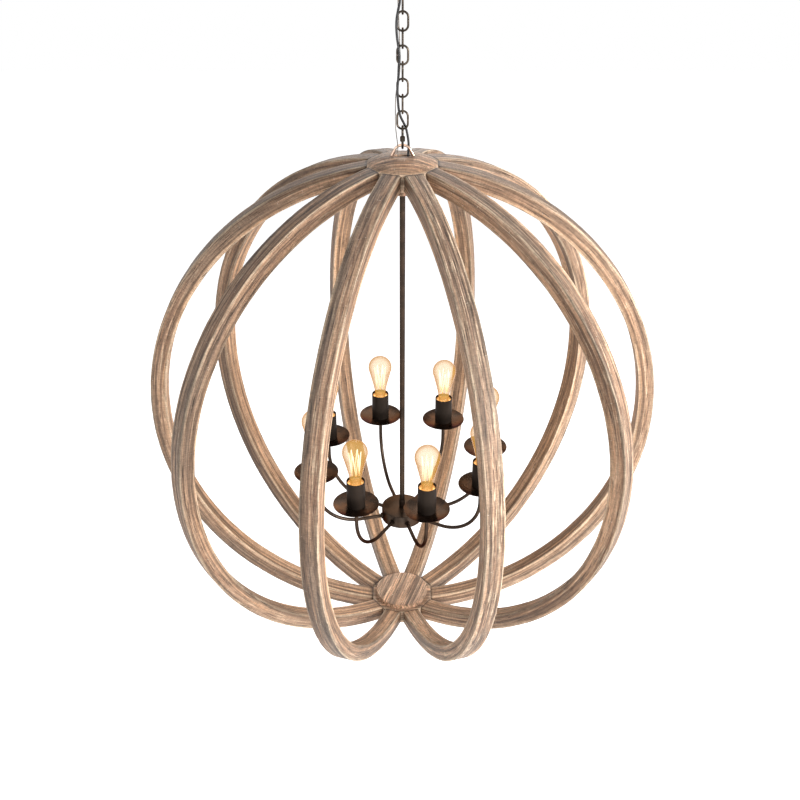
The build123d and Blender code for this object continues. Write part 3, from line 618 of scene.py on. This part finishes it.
# ---------------------------------------------------------------- wooden globe
class CHANDELIER_OT_ribs(bpy.types.Operator):
    """Bent ribs with eased, slightly worn edges"""

    bl_idname = "chandelier.ribs"
    bl_label = "Ribs"

    def execute(self, context):
        globe = context.scene.chandelier_globe
        material = rib_wood()
        root = globe.hub_apothem + globe.joint_gap
        noise = np.random.default_rng(7)
        # the section: from the outer face round to the inner one, as (outward, sideways) places
        half = globe.width / 2
        outer = globe.outer_radius
        inner = outer - globe.thickness
        corner = globe.edge
        mid = outer - globe.thickness / 2
        edge_reach = 0.0032  # how far the wear of an edge reaches from it
        wear_depth = 0.00025  # wear and waviness, both inward only
        inset = 0.00014  # keeps the faceted rib inside the solid's own facets
        joint_shade_reach = 0.0045  # painted shade in the joint at the rib's ends
        section = np.concatenate(
            [
                np.stack([np.full(9, outer), np.linspace(0.0, half - corner, 9)], -1),
                np.array([outer - corner, half - corner]) + corner * unit_arc(0, 90, 6)[1:],
                np.stack([np.linspace(outer - corner, inner + corner, 8)[1:], np.full(7, half)], -1),
                np.array([inner + corner, half - corner]) + corner * unit_arc(90, 180, 6)[1:],
                np.stack([np.full(8, inner), np.linspace(half - corner, 0.0, 9)[1:]], -1),
            ]
        )
        section = np.concatenate([section, (section * [1, -1])[-2::-1]])
        reach, aside = section.T
        rows = 260
        run = np.linspace(-1.0, 1.0, rows)[:, None]
        wrap = run_along(section)
        inward = np.clip((mid - reach) / (globe.thickness / 2), -1, 1)
        from_edge = np.hypot(half - np.abs(aside), np.minimum(outer - reach, reach - inner))
        edge = np.exp(-((from_edge / edge_reach) ** 2))
        side = np.where(outer - reach < 0.002, 0.0, 1.0)
        # wash strength of each rib: partly whitewash that differs from rib to rib, partly a painted
        # highlight that makes the first rib, at the front right facing the key light, the palest
        wash_and_highlight_by_rib = np.resize([1.45, 1.0, 0.95, 0.75, 0.8, 0.9, 0.7, 0.8, 0.6, 0.7], globe.ribs)
        for number in range(globe.ribs):
            turn = radians(-72.0) + number * 2 * pi / globe.ribs
            wear = np.interp(run[:, 0] * 90, np.arange(-91, 92), noise.normal(0.0, 1.0, 183))
            wave = np.interp(run[:, 0] * 14, np.arange(-15, 16), noise.normal(0.0, 1.0, 31))
            worn = edge * np.abs(wear[:, None])
            radius = reach - inset - wear_depth * (worn + np.abs(wave[:, None]))
            sideways = aside * (1.0 - 0.006 * worn)
            end = np.arccos((root + globe.curve_offset) / radius)
            angle = run * end
            out = radius * np.cos(angle) - globe.curve_offset
            height = radius * np.sin(angle) - globe.drop
            points = np.stack(
                [
                    out * cos(turn) - sideways * sin(turn),
                    out * sin(turn) + sideways * cos(turn),
                    height,
                ],
                axis=-1,
            )
            closing = [np.broadcast_to(points[row].mean(0), points[:1].shape) for row in (0, -1)]
            points = np.concatenate([closing[0], points, closing[1]])
            along = np.concatenate([angle[:1], angle, angle[-1:]]) * mid + 0.37 * number
            uv = np.stack(np.broadcast_arrays(along, wrap[None, :] + 0.21 * number), -1)
            # painted shade in the joint, rising over the last few millimetres of each end
            joint_shade = np.clip(1.0 - (1.0 - np.abs(run)) * float(end.mean()) * mid / joint_shade_reach, 0, 1)
            joint_shade = np.concatenate([[[1.0]], joint_shade, [[1.0]]])
            shape = points.shape[:2]
            marks = {
                "side": [np.broadcast_to(side, shape)],
                "edge": [np.broadcast_to(edge, shape)],
                "end": [np.broadcast_to(joint_shade, shape)],
                "wash_and_highlight": [np.full(shape, wash_and_highlight_by_rib[number])],
                # inner faces: peach, partly bare wood and partly a painted warm glow from the bulbs
                "painted_glow_and_bare_wood": [np.broadcast_to(np.clip(inward, 0, 1), shape)],
            }
            name = f"rib_{number + 1}"
            piece(f"bent_{name}", [(points, uv)], material, "orb", [name], 40.0, marks)
        return {"FINISHED"}


def unit_arc(start, end, steps):
    """Points on the unit circle between two angles in degrees."""
    angle = np.radians(np.linspace(start, end, steps))
    return np.stack([np.cos(angle), np.sin(angle)], -1)


class CHANDELIER_OT_hubs(bpy.types.Operator):
    """Finishes of the two hubs and the two inner discs"""

    bl_idname = "chandelier.hubs"
    bl_label = "Hubs and discs"

    def execute(self, context):
        globe = context.scene.chandelier_globe
        dress(["top_hub", "bottom_hub"], hub_wood(globe.hub_apothem + 0.002))
        dress(["top_disc", "bottom_disc"], disc_wood())
        return {"FINISHED"}


# ---------------------------------------------------------------- stem, box and arms
class CHANDELIER_OT_stem(bpy.types.Operator):
    """Stem with its collars, and the wiring box"""

    bl_idname = "chandelier.stem"
    bl_label = "Stem and wiring box"

    def execute(self, context):
        lamps = context.scene.chandelier_lamps
        drop = context.scene.chandelier_globe.drop
        metal = bpy.data.materials["oiled_bronze"]
        radius = lamps.stem_radius
        hole = radius + 0.0001
        rings = (
            ("stem_tube", "stem", radius - 0.0008, radius, 0.0003),
            ("stem_collar_turned", "stem_collar", hole, 0.0075, 0.0012),
            ("base_collar_turned", "base_collar", hole, 0.007, 0.0012),
        )
        for name, node, inner, outer, edge in rings:
            low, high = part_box(node)
            outline = [(inner, low.z), (outer, low.z), (outer, high.z), (inner, high.z), (inner, low.z)]
            ring = turned(eased(outline, edge), segments=48)
            piece(name, [ring], metal, "orb", [node])
        top = lamps.box_top - drop
        bottom = top - lamps.box_height
        wall = 0.0012
        wide = lamps.box_radius
        outline = [
            (hole, top - wall), (hole, top), (wide, top), (wide, bottom), (wide - wall, bottom),
            (wide - wall, top - wall), (hole, top - wall),
        ]
        shell = turned(eased(outline, 0.0022), segments=96)
        piece("box_shell", [shell], metal, "orb", ["wiring_box"])
        dress(["box_cover", "arm_nuts"], metal)
        dress(["stem_locknut", "base_nut", "loop_nuts"], bpy.data.materials["plated_steel"])
        plastic = moulded("amber_plastic", (0.55, 0.28, 0.04), (0.68, 0.38, 0.07), 0.5)
        dress(["wire_connectors", "canopy_connectors"], plastic)
        return {"FINISHED"}


class CHANDELIER_OT_arms(bpy.types.Operator):
    """Curved arms: level out of the box, a quarter bend and up to the pan"""

    bl_idname = "chandelier.arms"
    bl_label = "Arms"

    def execute(self, context):
        lamps = context.scene.chandelier_lamps
        drop = context.scene.chandelier_globe.drop
        start = lamps.box_radius - 0.0062
        bend_start = lamps.ring_radius - lamps.arm_bend
        top = lamps.pan_floor + 0.0122
        centre = (bend_start, lamps.arm_height + lamps.arm_bend)
        level = np.stack([np.linspace(start, bend_start, 6)[:-1], np.full(5, lamps.arm_height)], -1)
        bend = arc(centre, lamps.arm_bend, -90.0, 0.0, 40)
        rise = np.stack([np.full(8, lamps.ring_radius), np.linspace(centre[1], top, 9)[1:]], -1)
        path = np.concatenate([level, bend, rise])
        radius = lamps.arm_radius
        tubes = [
            flat_tube(path, radius, radius, (cos(turn), sin(turn), 0.0), (0, 0, 1), (0, 0, -drop), 24)
            for turn in lamp_bearings()
        ]
        piece("arm_tubes", tubes, bpy.data.materials["oiled_bronze"], "orb", ["arms"])
        return {"FINISHED"}


# ---------------------------------------------------------------- lamps
class CHANDELIER_OT_lamps(bpy.types.Operator):
    """Drip pans, socket cups, screw shells and lampholders"""

    bl_idname = "chandelier.lamps"
    bl_label = "Pans, cups and sockets"

    def execute(self, context):
        lamps = context.scene.chandelier_lamps
        drop = context.scene.chandelier_globe.drop
        centres = lamp_centres()
        floor = lamps.pan_floor - drop
        wall = PAN_WALL
        edge = lamps.pan_radius
        rise = 0.005
        hole = lamps.arm_radius + 0.0001
        flat = 0.023
        middle = (flat + edge) / 2
        under = arc_through((flat, floor), (middle, floor + 0.3 * rise), (edge, floor + rise), 18)
        over = under[::-1] + [0.0, wall]
        outline = np.concatenate([[(hole, floor)], under, over, [(hole, floor + wall), (hole, floor)]])
        pans = [turned(eased(outline, 0.0005, 2), centre, 72) for centre in centres]
        piece("spun_pans", pans, bpy.data.materials["pan_bronze"], "orb", ["drip_pans"])

        foot = floor + wall
        rim = foot + lamps.cup_height
        skin = 0.001
        outside = lamps.cup_radius
        outline = [
            (hole, foot), (outside, foot), (outside, rim), (outside - skin, rim),
            (outside - skin, foot + skin), (hole, foot + skin), (hole, foot),
        ]
        cups = [turned(eased(outline, 0.0004), centre, 64) for centre in centres]
        piece("drawn_cups", cups, bpy.data.materials["cup_bronze"], "orb", ["socket_cups"])

        low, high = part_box("screw_shells")
        inner = 0.01325
        outer = inner + 0.0006
        lip = 0.0188
        seat = high.z - 0.001
        outline = [
            (inner, low.z), (outer, low.z), (outer, seat), (lip, seat), (lip, high.z + 0.0015),
            (lip - 0.0009, high.z + 0.0015), (lip - 0.0012, high.z), (inner, high.z), (inner, low.z),
        ]
        shells = [turned(eased(outline, 0.0006), centre, 56) for centre in centres]
        brass = bpy.data.materials["rolled_brass"]
        piece("rolled_shells", shells, brass, "orb", ["screw_shells"])
        dress(["lampholders"], moulded("black_mould", (0.012, 0.011, 0.010), (0.02, 0.018, 0.017), 0.5))
        return {"FINISHED"}


def bulb_profile(skin):
    """Glass outline from the neck to the tip: a straight neck, a flank that touches the round end, and
    the round end, drawn inward by the skin."""
    lamps = bpy.context.scene.chandelier_lamps
    rim = cup_rim()
    tip = rim + lamps.bulb_above_rim
    radius = lamps.bulb_radius
    middle = tip - radius
    neck = 0.0124
    neck_low = rim - 0.010
    neck_top = rim - 0.003
    gap = middle - neck_top
    lean = asin(radius / hypot(neck, gap)) - asin(neck / hypot(neck, gap))
    round_end = arc((0.0, middle), radius - skin, -np.degrees(lean), 90.0, 26)
    start = round_end[0]
    t = np.linspace(0.0, 1.0, 18)[:, None]
    low = np.array([neck - skin, neck_top])
    bend = np.array([neck - skin + 0.0015, neck_top + 0.26 * gap])
    flank = (1 - t) ** 2 * low + 2 * t * (1 - t) * bend + t**2 * start
    profile = np.concatenate([[(neck - skin, neck_low)], flank, round_end[1:]])
    profile[-1, 0] = 0.0
    return profile


class CHANDELIER_OT_bulbs(bpy.types.Operator):
    """Clear bulbs with their filament cages and brass caps"""

    bl_idname = "chandelier.bulbs"
    bl_label = "Bulbs"

    def execute(self, context):
        drop = context.scene.chandelier_globe.drop
        rim = cup_rim()
        glass = bulb_glass()
        stem = stem_glass()
        cage_low = rim + 0.013 - drop
        cage_high = rim + 0.080 - drop
        cage_narrow = 0.0090
        cage_wide = 0.0138
        cage_wire = 0.00075
        glow = filament_glow(cage_low, cage_low + 0.030)
        brass = bpy.data.materials["rolled_brass"]
        outer = bulb_profile(0.0)
        inner = bulb_profile(0.0006)[::-1]
        outline = np.concatenate([outer, inner, outer[:1]]) - [0.0, drop]
        strands = 6
        t = np.linspace(0.0, 2 * pi, strands * 2 * 14 + 1)
        wave = np.arcsin(0.985 * np.sin(strands * t)) / (pi / 2)
        for number, centre in enumerate(lamp_centres()):
            body = f"bulb_{number + 1}"
            shell = [turned(outline, centre, 56)]
            node = f"bulb_glass_{number + 1}"
            piece(f"envelope_{number + 1}", shell, glass, body, [node])
            level = (cage_low + cage_high) / 2 + wave * (cage_high - cage_low) / 2
            spreading = cage_narrow + (cage_wide - cage_narrow) * (wave + 1) / 2
            path = np.stack(
                [
                    centre[0] + spreading * np.cos(t + 0.4 * number),
                    centre[1] + spreading * np.sin(t + 0.4 * number),
                    level,
                ],
                axis=-1,
            )
            cage = [round_wire(path, cage_wire, 6)]
            piece(f"cage_{number + 1}", cage, glow, body, [], 60.0)
            mount = [
                (0.0, rim - 0.006 - drop), (0.0095, rim - 0.006 - drop), (0.0052, rim + 0.004 - drop),
                (0.0034, rim + 0.016 - drop), (0.0030, rim + 0.020 - drop), (0.0009, rim + 0.024 - drop),
                (0.0008, cage_high + 0.002), (0.0016, cage_high + 0.003), (0.0, cage_high + 0.0045),
            ]
            pressed = [turned(eased(mount, 0.002), centre, 20)]
            piece(f"pressed_stem_{number + 1}", pressed, stem, body, [], 60.0)
            node = f"bulb_cap_{number + 1}"
            cap = [turned(cap_profile(*(corner.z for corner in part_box(node))), centre, 48)]
            piece(f"threaded_cap_{number + 1}", cap, brass, body, [node])
        return {"FINISHED"}


def cap_profile(low, high):
    """Bulb cap: a tip, a cone and a rolled thread, whose radius is a cosine of the height."""
    pitch = 0.00363
    height = np.linspace(low + 0.007, high - 0.003, 49)
    thread = 0.0124 + 0.00045 * np.cos((height - low) / pitch * 2 * pi)
    side = np.stack([thread, height], -1)
    below = [(0.0, low), (0.0044, low), (0.0052, low + 0.002), (0.0118, low + 0.005)]
    top = high - 0.0022
    above = [(0.0127, high - 0.002), (0.0127, high), (0.0121, high), (0.0121, top), (0.0, top)]
    return np.concatenate([below, side, above])


def round_wire(path, radius, sides):
    """Round wire along any path: the section turns with the path's heading and a fixed upright."""
    heading = headings(path)
    out = path - path.mean(0)
    out[:, 2] = 0.0
    across = np.cross(heading, out)
    across /= np.linalg.norm(across, axis=1, keepdims=True)
    lift = np.cross(across, heading)
    turn = np.linspace(0.0, 2 * pi, sides + 1)[None, :, None]
    ring = np.cos(turn) * across[:, None, :] + np.sin(turn) * lift[:, None, :]
    points = path[:, None, :] + radius * ring
    return points, spread(len(path), sides + 1, run_along(path), turn.ravel() * radius)


# ---------------------------------------------------------------- chain
def link_wire(low, span, bow, wire, opening, side, plane):
    """Round wire bent to a link: half circles at both ends, straight sides, and a gap in one side."""
    middle = low + span / 2
    top = low + span - bow
    foot = low + bow
    first = np.stack([np.full(5, bow), np.linspace(middle - opening / 2, foot, 6)[:-1]], -1)
    lower = arc((0.0, foot), bow, 0.0, -180.0, 22)
    far = np.stack([np.full(6, -bow), np.linspace(foot, top, 8)[1:-1]], -1)
    upper = arc((0.0, top), bow, 180.0, 0.0, 22)
    last = np.stack([np.full(5, bow), np.linspace(top, middle + opening / 2, 6)[1:]], -1)
    path = np.concatenate([first, lower, far, upper, last]) * [side, 1.0]
    x_axis = (1.0, 0.0, 0.0) if plane == "face_on" else (0.0, 1.0, 0.0)
    return flat_tube(path, wire / 2, wire / 2, x_axis, (0.0, 0.0, 1.0), (0.0, 0.0, 0.0), 18)


class CHANDELIER_OT_chain(bpy.types.Operator):
    """Chain links, quick link and hanging loop"""

    bl_idname = "chandelier.chain"
    bl_label = "Chain"

    def execute(self, context):
        chain = context.scene.chandelier_chain
        metal = bpy.data.materials["chain_bronze"]
        bow = (chain.link_width - chain.wire) / 2
        span = chain.link_length - chain.wire
        pitch = chain.link_length - 2 * chain.wire - chain.gap
        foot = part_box("top_link")[0].z + chain.wire / 2
        top = [link_wire(foot, span, bow, chain.wire, chain.seam, -1, "edge_on")]
        piece("bent_top_link", top, metal, "top_chain_link", ["top_link"])
        sides = [-1, -1, -1, -1, 1, -1, 1]
        wires = []
        for number in range(chain.links):
            low = foot + chain.wire + chain.gap - span - number * pitch
            plane = "face_on" if number % 2 == 0 else "edge_on"
            wires.append(link_wire(low, span, bow, chain.wire, chain.seam, sides[number], plane))
        piece("bent_links", wires, metal, "chain", ["chain_links"])
        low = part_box("connector_link")[0].z
        wire = chain.connector_wire
        span = chain.connector_length - wire
        bow = (chain.connector_width - wire) / 2
        quick = [link_wire(low + wire / 2, span, bow, wire, chain.connector_gate, -1, "edge_on")]
        piece("bent_quick_link", quick, metal, "chain", ["connector_link"])
        dress(["connector_sleeve"], metal)
        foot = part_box("top_hub")[1].z
        loop_low, loop_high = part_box("hanging_loop")
        crest = loop_high.z - 0.0025 - foot
        leg = np.stack([np.linspace(0.022, 0.0152, 8), np.linspace(0.0, 0.0148, 8)], -1)
        crown = arc_through((0.0152, 0.0148), (0.0, crest), (-0.0152, 0.0148), 34)
        path = np.concatenate([leg[:-1], crown, (leg * [-1, 1])[::-1][1:]])
        half_width = 0.0025 + 0.0010 * np.clip(1 - path[:, 1] / 0.012, 0, 1)
        arch = flat_tube(path, half_width, 0.003, (1, 0, 0), (0, 0, 1), (0, 0, foot), 24, 0.62)
        rods = []
        rod = 0.003
        for hand in (-1, 1):
            outline = [(0.0, loop_low.z), (rod, loop_low.z), (rod, foot + 0.001), (0.0, foot + 0.001)]
            rods.append(turned(outline, (hand * 0.022, 0.0), 24))
        loop = [arch, *rods]
        piece("forged_loop", loop, bpy.data.materials["copper_loop"], "orb", ["hanging_loop"])
        return {"FINISHED"}


class CHANDELIER_OT_ceiling(bpy.types.Operator):
    """Finishes of the canopy and its hardware"""

    bl_idname = "chandelier.ceiling"
    bl_label = "Ceiling fitting"

    def execute(self, context):
        metal = bpy.data.materials["oiled_bronze"]
        wide = 0.063
        deep = 0.028
        wall = 0.0012
        turn = 0.022
        hole = 0.0147
        centre = (wide - turn, turn - deep)
        outside = arc(centre, turn, 0.0, -90.0, 18)
        inside = arc(centre, turn - wall, -90.0, 0.0, 18)
        outline = np.concatenate(
            [
                [(wide, 0.0)], outside, [(hole, -deep), (hole, wall - deep)], inside,
                [(wide - wall, 0.0), (wide, 0.0)],
            ]
        )
        shell = turned(outline, segments=96)
        piece("spun_canopy", [shell], metal, "canopy_set", ["canopy"], 30.0)
        dress(["ring_nut", "ceiling_loop"], metal)
        dress(["crossbar", "ceiling_nipple", "ceiling_locknut"], bpy.data.materials["plated_steel"])
        return {"FINISHED"}


# ---------------------------------------------------------------- cords
# the route's points from the hub up to the top pivot, in millimetres
CORD_ROUTE = [
    (1.1, 0.0, -440.0), (1.7, 0.2, -428.0), (6.0, 1.4, -413.0), (10.8, 2.5, -398.0),
    (11.5, 3.4, -388.5), (12.6, 6.9, -377.0), (12.8, 7.3, -364.0), (10.4, 6.8, -347.0),
    (6.5, 5.7, -329.0), (-6.8, -6.4, -301.0), (-9.5, -5.4, -273.0), (-10.6, -5.3, -249.0),
    (-8.2, -5.4, -224.0), (-7.7, -5.2, -203.0), (-5.6, -5.3, -185.0), (-8.0, -5.2, -167.0),
    (-11.6, -5.4, -145.0), (-12.7, -5.3, -116.0), (-8.2, -6.6, -92.0), (-5.5, -8.0, -79.7),
    (-5.5, -8.0, -71.0),
]
GROUND_ROUTE = [
    (-2.6, 0.0, -440.0), (-2.9, -0.2, -427.0), (-6.2, -1.5, -410.0), (-8.6, -2.8, -394.0),
    (-9.3, -4.5, -380.0), (-9.9, -5.0, -363.0), (-12.6, -3.6, -345.0), (-14.5, -1.2, -324.0),
    (-14.8, 1.2, -294.0), (-14.2, 3.4, -267.0), (-11.5, 4.2, -248.0), (-7.6, 4.2, -232.0),
    (-5.3, 3.9, -213.0), (-4.8, 3.7, -192.0), (-5.5, 3.8, -169.0), (-6.6, 3.8, -142.0),
    (-7.6, 4.0, -114.0), (-8.7, 4.2, -94.0), (-9.2, 4.4, -79.7), (-9.2, 4.4, -71.0),
]
CORD_LEAD = [(-5.5, -8.0, -70.7), (-5.5, -8.0, -24.0), (-5.5, -10.5, -9.0), (-5.5, -36.0, -7.5)]
GROUND_LEAD = [(-9.2, 4.4, -70.7), (-9.2, 4.4, -23.0), (-12.0, 5.4, -14.0), (-36.0, 14.0, -12.5)]


def spline_curve(name, route):
    """A curve of one spline with the route's points as its control points."""
    curve = bpy.data.curves.new(name, "CURVE")
    curve.dimensions = "3D"
    curve.resolution_u = 12
    spline = curve.splines.new("NURBS")
    spline.points.add(len(route) - 1)
    points = np.ones((len(route), 4))
    points[:, :3] = np.array(route) / 1000.0
    spline.points.foreach_set("co", points.ravel())
    spline.order_u = 3
    spline.use_endpoint_u = True
    return curve


def spline_path(name, route):
    """The points that Blender reads off the route's spline."""
    item = bpy.data.objects.new(name, spline_curve(name, route))
    line = bpy.data.meshes.new_from_object(item)
    points = np.zeros(len(line.vertices) * 3)
    line.vertices.foreach_get("co", points)
    bpy.data.objects.remove(item)
    bpy.data.meshes.remove(line)
    return points.reshape(-1, 3)


def cord_tube(path, radius, sides=20):
    """Round tube along a smooth path with closed, slightly rounded ends. Its section stays square to
    the path: its first axis is the crosswise of the heading and the X axis."""
    heading = headings(path)
    ends = np.array([0.0, 0.6, 0.92, 1.0])
    sizes = np.concatenate([ends, np.ones(len(path)), ends[::-1]]) * radius
    lead = (np.array([0.0, 0.05, 0.3, 0.6]) - 0.6)[:, None] * radius * heading[:1]
    tail = (0.6 - np.array([0.6, 0.3, 0.05, 0.0]))[:, None] * radius * heading[-1:]
    spine = np.concatenate([path[:1] + lead, path, path[-1:] + tail])
    heading = np.concatenate([heading[:1].repeat(4, 0), heading, heading[-1:].repeat(4, 0)])
    across = np.cross(heading, [1.0, 0.0, 0.0])
    across /= np.linalg.norm(across, axis=1, keepdims=True)
    lift = np.cross(heading, across)
    turn = np.linspace(0.0, 2 * pi, sides + 1)[None, :, None]
    ring = np.cos(turn) * across[:, None, :] + np.sin(turn) * lift[:, None, :]
    points = spine[:, None, :] + sizes[:, None, None] * ring
    return points, spread(len(spine), sides + 1, run_along(spine), turn.ravel() * radius)


class CHANDELIER_OT_cords(bpy.types.Operator):
    """Supply cord and ground wire beside the chain, and their leads in the canopy"""

    bl_idname = "chandelier.cords"
    bl_label = "Cords"

    def execute(self, context):
        chain = context.scene.chandelier_chain
        black = moulded("cord_rubber", (0.010, 0.010, 0.011), (0.018, 0.018, 0.019), 0.42)
        jacket = moulded("clear_jacket", (0.20, 0.17, 0.14), (0.34, 0.30, 0.26), 0.22)
        runs = [
            ("hung_cord", CORD_ROUTE, chain.cord, black, "supply_cord", "cord_black"),
            ("hung_ground", GROUND_ROUTE, chain.ground, jacket, "ground_wire", "wire_jacket"),
            ("cord_lead", CORD_LEAD, chain.cord, black, "canopy_leads", "cord_black"),
            ("ground_lead", GROUND_LEAD, chain.ground, jacket, "canopy_leads", "wire_jacket"),
        ]
        for name, route, diameter, material, node, slot in runs:
            path = spline_path(name, route)
            tube = [cord_tube(path, diameter / 2)]
            body = None if name.startswith("hung") else "ceiling_fitting"
            item = piece(name, tube, material, body, [node])
            if body is None:
                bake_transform(item)
        return {"FINISHED"}


# ---------------------------------------------------------------- stage
class CHANDELIER_OT_stage(bpy.types.Operator):
    """Pale floor, soft lights, white surroundings and the camera"""

    bl_idname = "chandelier.stage"
    bl_label = "Stage"

    def execute(self, context):
        scene = context.scene
        drop = scene.chandelier_globe.drop
        scene.view_settings.view_transform = "Standard"

        world = bpy.data.worlds.new("surroundings")
        scene.world = world
        world.use_nodes = True
        tree = world.node_tree
        tree.nodes.clear()
        # plain light on the object, and white where the camera, gloss or glass looks past it
        rays = tree.nodes.new("ShaderNodeLightPath")
        seen = rays.outputs["Is Camera Ray"]
        for name in ("Is Glossy Ray", "Is Transmission Ray"):
            either = tree.nodes.new("ShaderNodeMath")
            either.operation = "MAXIMUM"
            tree.links.new(seen, either.inputs[0])
            tree.links.new(rays.outputs[name], either.inputs[1])
            seen = either.outputs[0]
        choose = tree.nodes.new("ShaderNodeMixShader")
        tree.links.new(seen, choose.inputs[0])
        skies = (((0.98, 0.98, 1.0, 1.0), 0.38), ((1.0, 1.0, 1.0, 1.0), 1.0))
        for slot, (colour, strength) in enumerate(skies, 1):
            sky = tree.nodes.new("ShaderNodeBackground")
            sky.inputs["Color"].default_value = colour
            sky.inputs["Strength"].default_value = strength
            tree.links.new(sky.outputs[0], choose.inputs[slot])
        output = tree.nodes.new("ShaderNodeOutputWorld")
        tree.links.new(choose.outputs[0], output.inputs["Surface"])

        finish = Finish("pale_floor")
        where = finish.parts("TexCoord", "Object")
        cloud = finish.noise(finish.point(*where), 3.0, 2.0)
        colour = finish.mix(cloud, (0.93, 0.93, 0.93), (0.95, 0.95, 0.95))
        rays = [
            finish.node("LightPath", None, None, name)
            for name in ("Is Camera Ray", "Is Glossy Ray", "Is Transmission Ray")
        ]
        shown = rays[0].math("MAXIMUM", rays[0], rays[1].math("MAXIMUM", rays[1], rays[2]))
        surface = finish.principled(
            Base_Color=colour,
            Roughness=0.9,
            Specular_IOR_Level=0.0,
            Emission_Color=finish.mix(shown, (0.0, 0.0, 0.0), (0.72, 0.72, 0.72)),
            Emission_Strength=1.0,
        )
        wide = 9.0
        level = -drop - 1.6
        corners = [(-wide, -wide, level), (wide, -wide, level), (wide, wide, level), (-wide, wide, level)]
        mesh = bpy.data.meshes.new("floor")
        mesh.from_pydata(corners, [], [(0, 1, 2, 3)])
        mesh.materials.append(surface)
        floor = bpy.data.objects.new("floor", mesh)
        scene.collection.objects.link(floor)

        target = Vector((0.0, 0.0, -drop))
        lights = [
            ("key", (2.9, -1.9, 0.9), 1.4, 188.0, (1.0, 0.97, 0.95)),
            ("fill", (-0.9, -3.4, 0.8), 2.6, 27.0, (1.0, 0.98, 0.96)),
            ("back", (0.2, 3.2, 1.6), 2.2, 40.0, (1.0, 0.97, 0.94)),
            ("under", (0.3, -1.2, -1.45), 2.4, 4.0, (1.0, 0.98, 0.96)),
        ]
        for name, offset, wide, power, colour in lights:
            lamp = bpy.data.lights.new(name, "AREA")
            lamp.energy = power
            lamp.color = colour
            lamp.shape = "DISK"
            lamp.size = wide
            item = bpy.data.objects.new(name, lamp)
            place = target + Vector(offset)
            item.location = place
            item.rotation_euler = (target - place).to_track_quat("-Z", "Y").to_euler()
            scene.collection.objects.link(item)

        # camera: 2.69 m from the globe's middle and 31.2 degrees above it, tipped down 30.8 degrees
        distance = 2.6907
        elevation = radians(31.172)
        camera = bpy.data.cameras.new("camera")
        camera.sensor_width = 36.0
        camera.lens = 51.59
        camera.clip_end = 50.0
        item = bpy.data.objects.new("camera", camera)
        item.location = (0.0, -distance * cos(elevation), distance * sin(elevation) - drop)
        item.rotation_euler = (radians(90.0 - 30.785), 0.0, radians(0.13))
        scene.collection.objects.link(item)
        scene.camera = item
        return {"FINISHED"}


class CHANDELIER_OT_finishes(bpy.types.Operator):
    """Metal finishes that several pieces share"""

    bl_idname = "chandelier.finishes"
    bl_label = "Metal finishes"

    def execute(self, context):
        colours = context.scene.chandelier_colours
        bronze("oiled_bronze", colours.bronze, colours.bronze_worn, 0.34)
        bronze("pan_bronze", (0.047, 0.034, 0.027), (0.135, 0.072, 0.043), 0.27, 0.9, 0.6)
        bronze("cup_bronze", (0.028, 0.022, 0.018), (0.048, 0.034, 0.026), 0.42, 0.5, 0.4)
        bronze("chain_bronze", (0.052, 0.044, 0.036), (0.21, 0.170, 0.130), 0.28, 0.9, 0.7)
        bronze("copper_loop", colours.copper, (0.86, 0.70, 0.58), 0.24, 1.0, 0.7)
        zinc()
        shell_brass(0.35)
        return {"FINISHED"}


class CHANDELIER_PT_panel(bpy.types.Panel):
    """Lists the pieces of the chandelier"""

    bl_idname = "CHANDELIER_PT_panel"
    bl_label = "Orb Chandelier"
    bl_space_type = "VIEW_3D"
    bl_region_type = "UI"
    bl_category = "Chandelier"

    def draw(self, context):
        for operator in OPERATORS:
            self.layout.operator(operator.bl_idname)
        for group, kind in GROUPS.items():
            column = self.layout.column(align=True)
            for key in kind.__annotations__:
                column.prop(getattr(context.scene, group), key)


OPERATORS = (
    CHANDELIER_OT_finishes,
    CHANDELIER_OT_stage,
    CHANDELIER_OT_cords,
    CHANDELIER_OT_ribs,
    CHANDELIER_OT_hubs,
    CHANDELIER_OT_stem,
    CHANDELIER_OT_arms,
    CHANDELIER_OT_lamps,
    CHANDELIER_OT_bulbs,
    CHANDELIER_OT_chain,
    CHANDELIER_OT_ceiling,
)


def register():
    for kind in (*GROUPS.values(), *OPERATORS, CHANDELIER_PT_panel):
        bpy.utils.register_class(kind)
    for name, kind in GROUPS.items():
        setattr(bpy.types.Scene, name, PointerProperty(type=kind))


def unregister():
    for name in GROUPS:
        delattr(bpy.types.Scene, name)
    for kind in (CHANDELIER_PT_panel, *reversed(OPERATORS), *reversed(list(GROUPS.values()))):
        bpy.utils.unregister_class(kind)


def main():
    register()
    for operator in OPERATORS:
        group, action = operator.bl_idname.split(".")
        getattr(getattr(bpy.ops, group), action)()


if __name__ == "__main__":
    main()
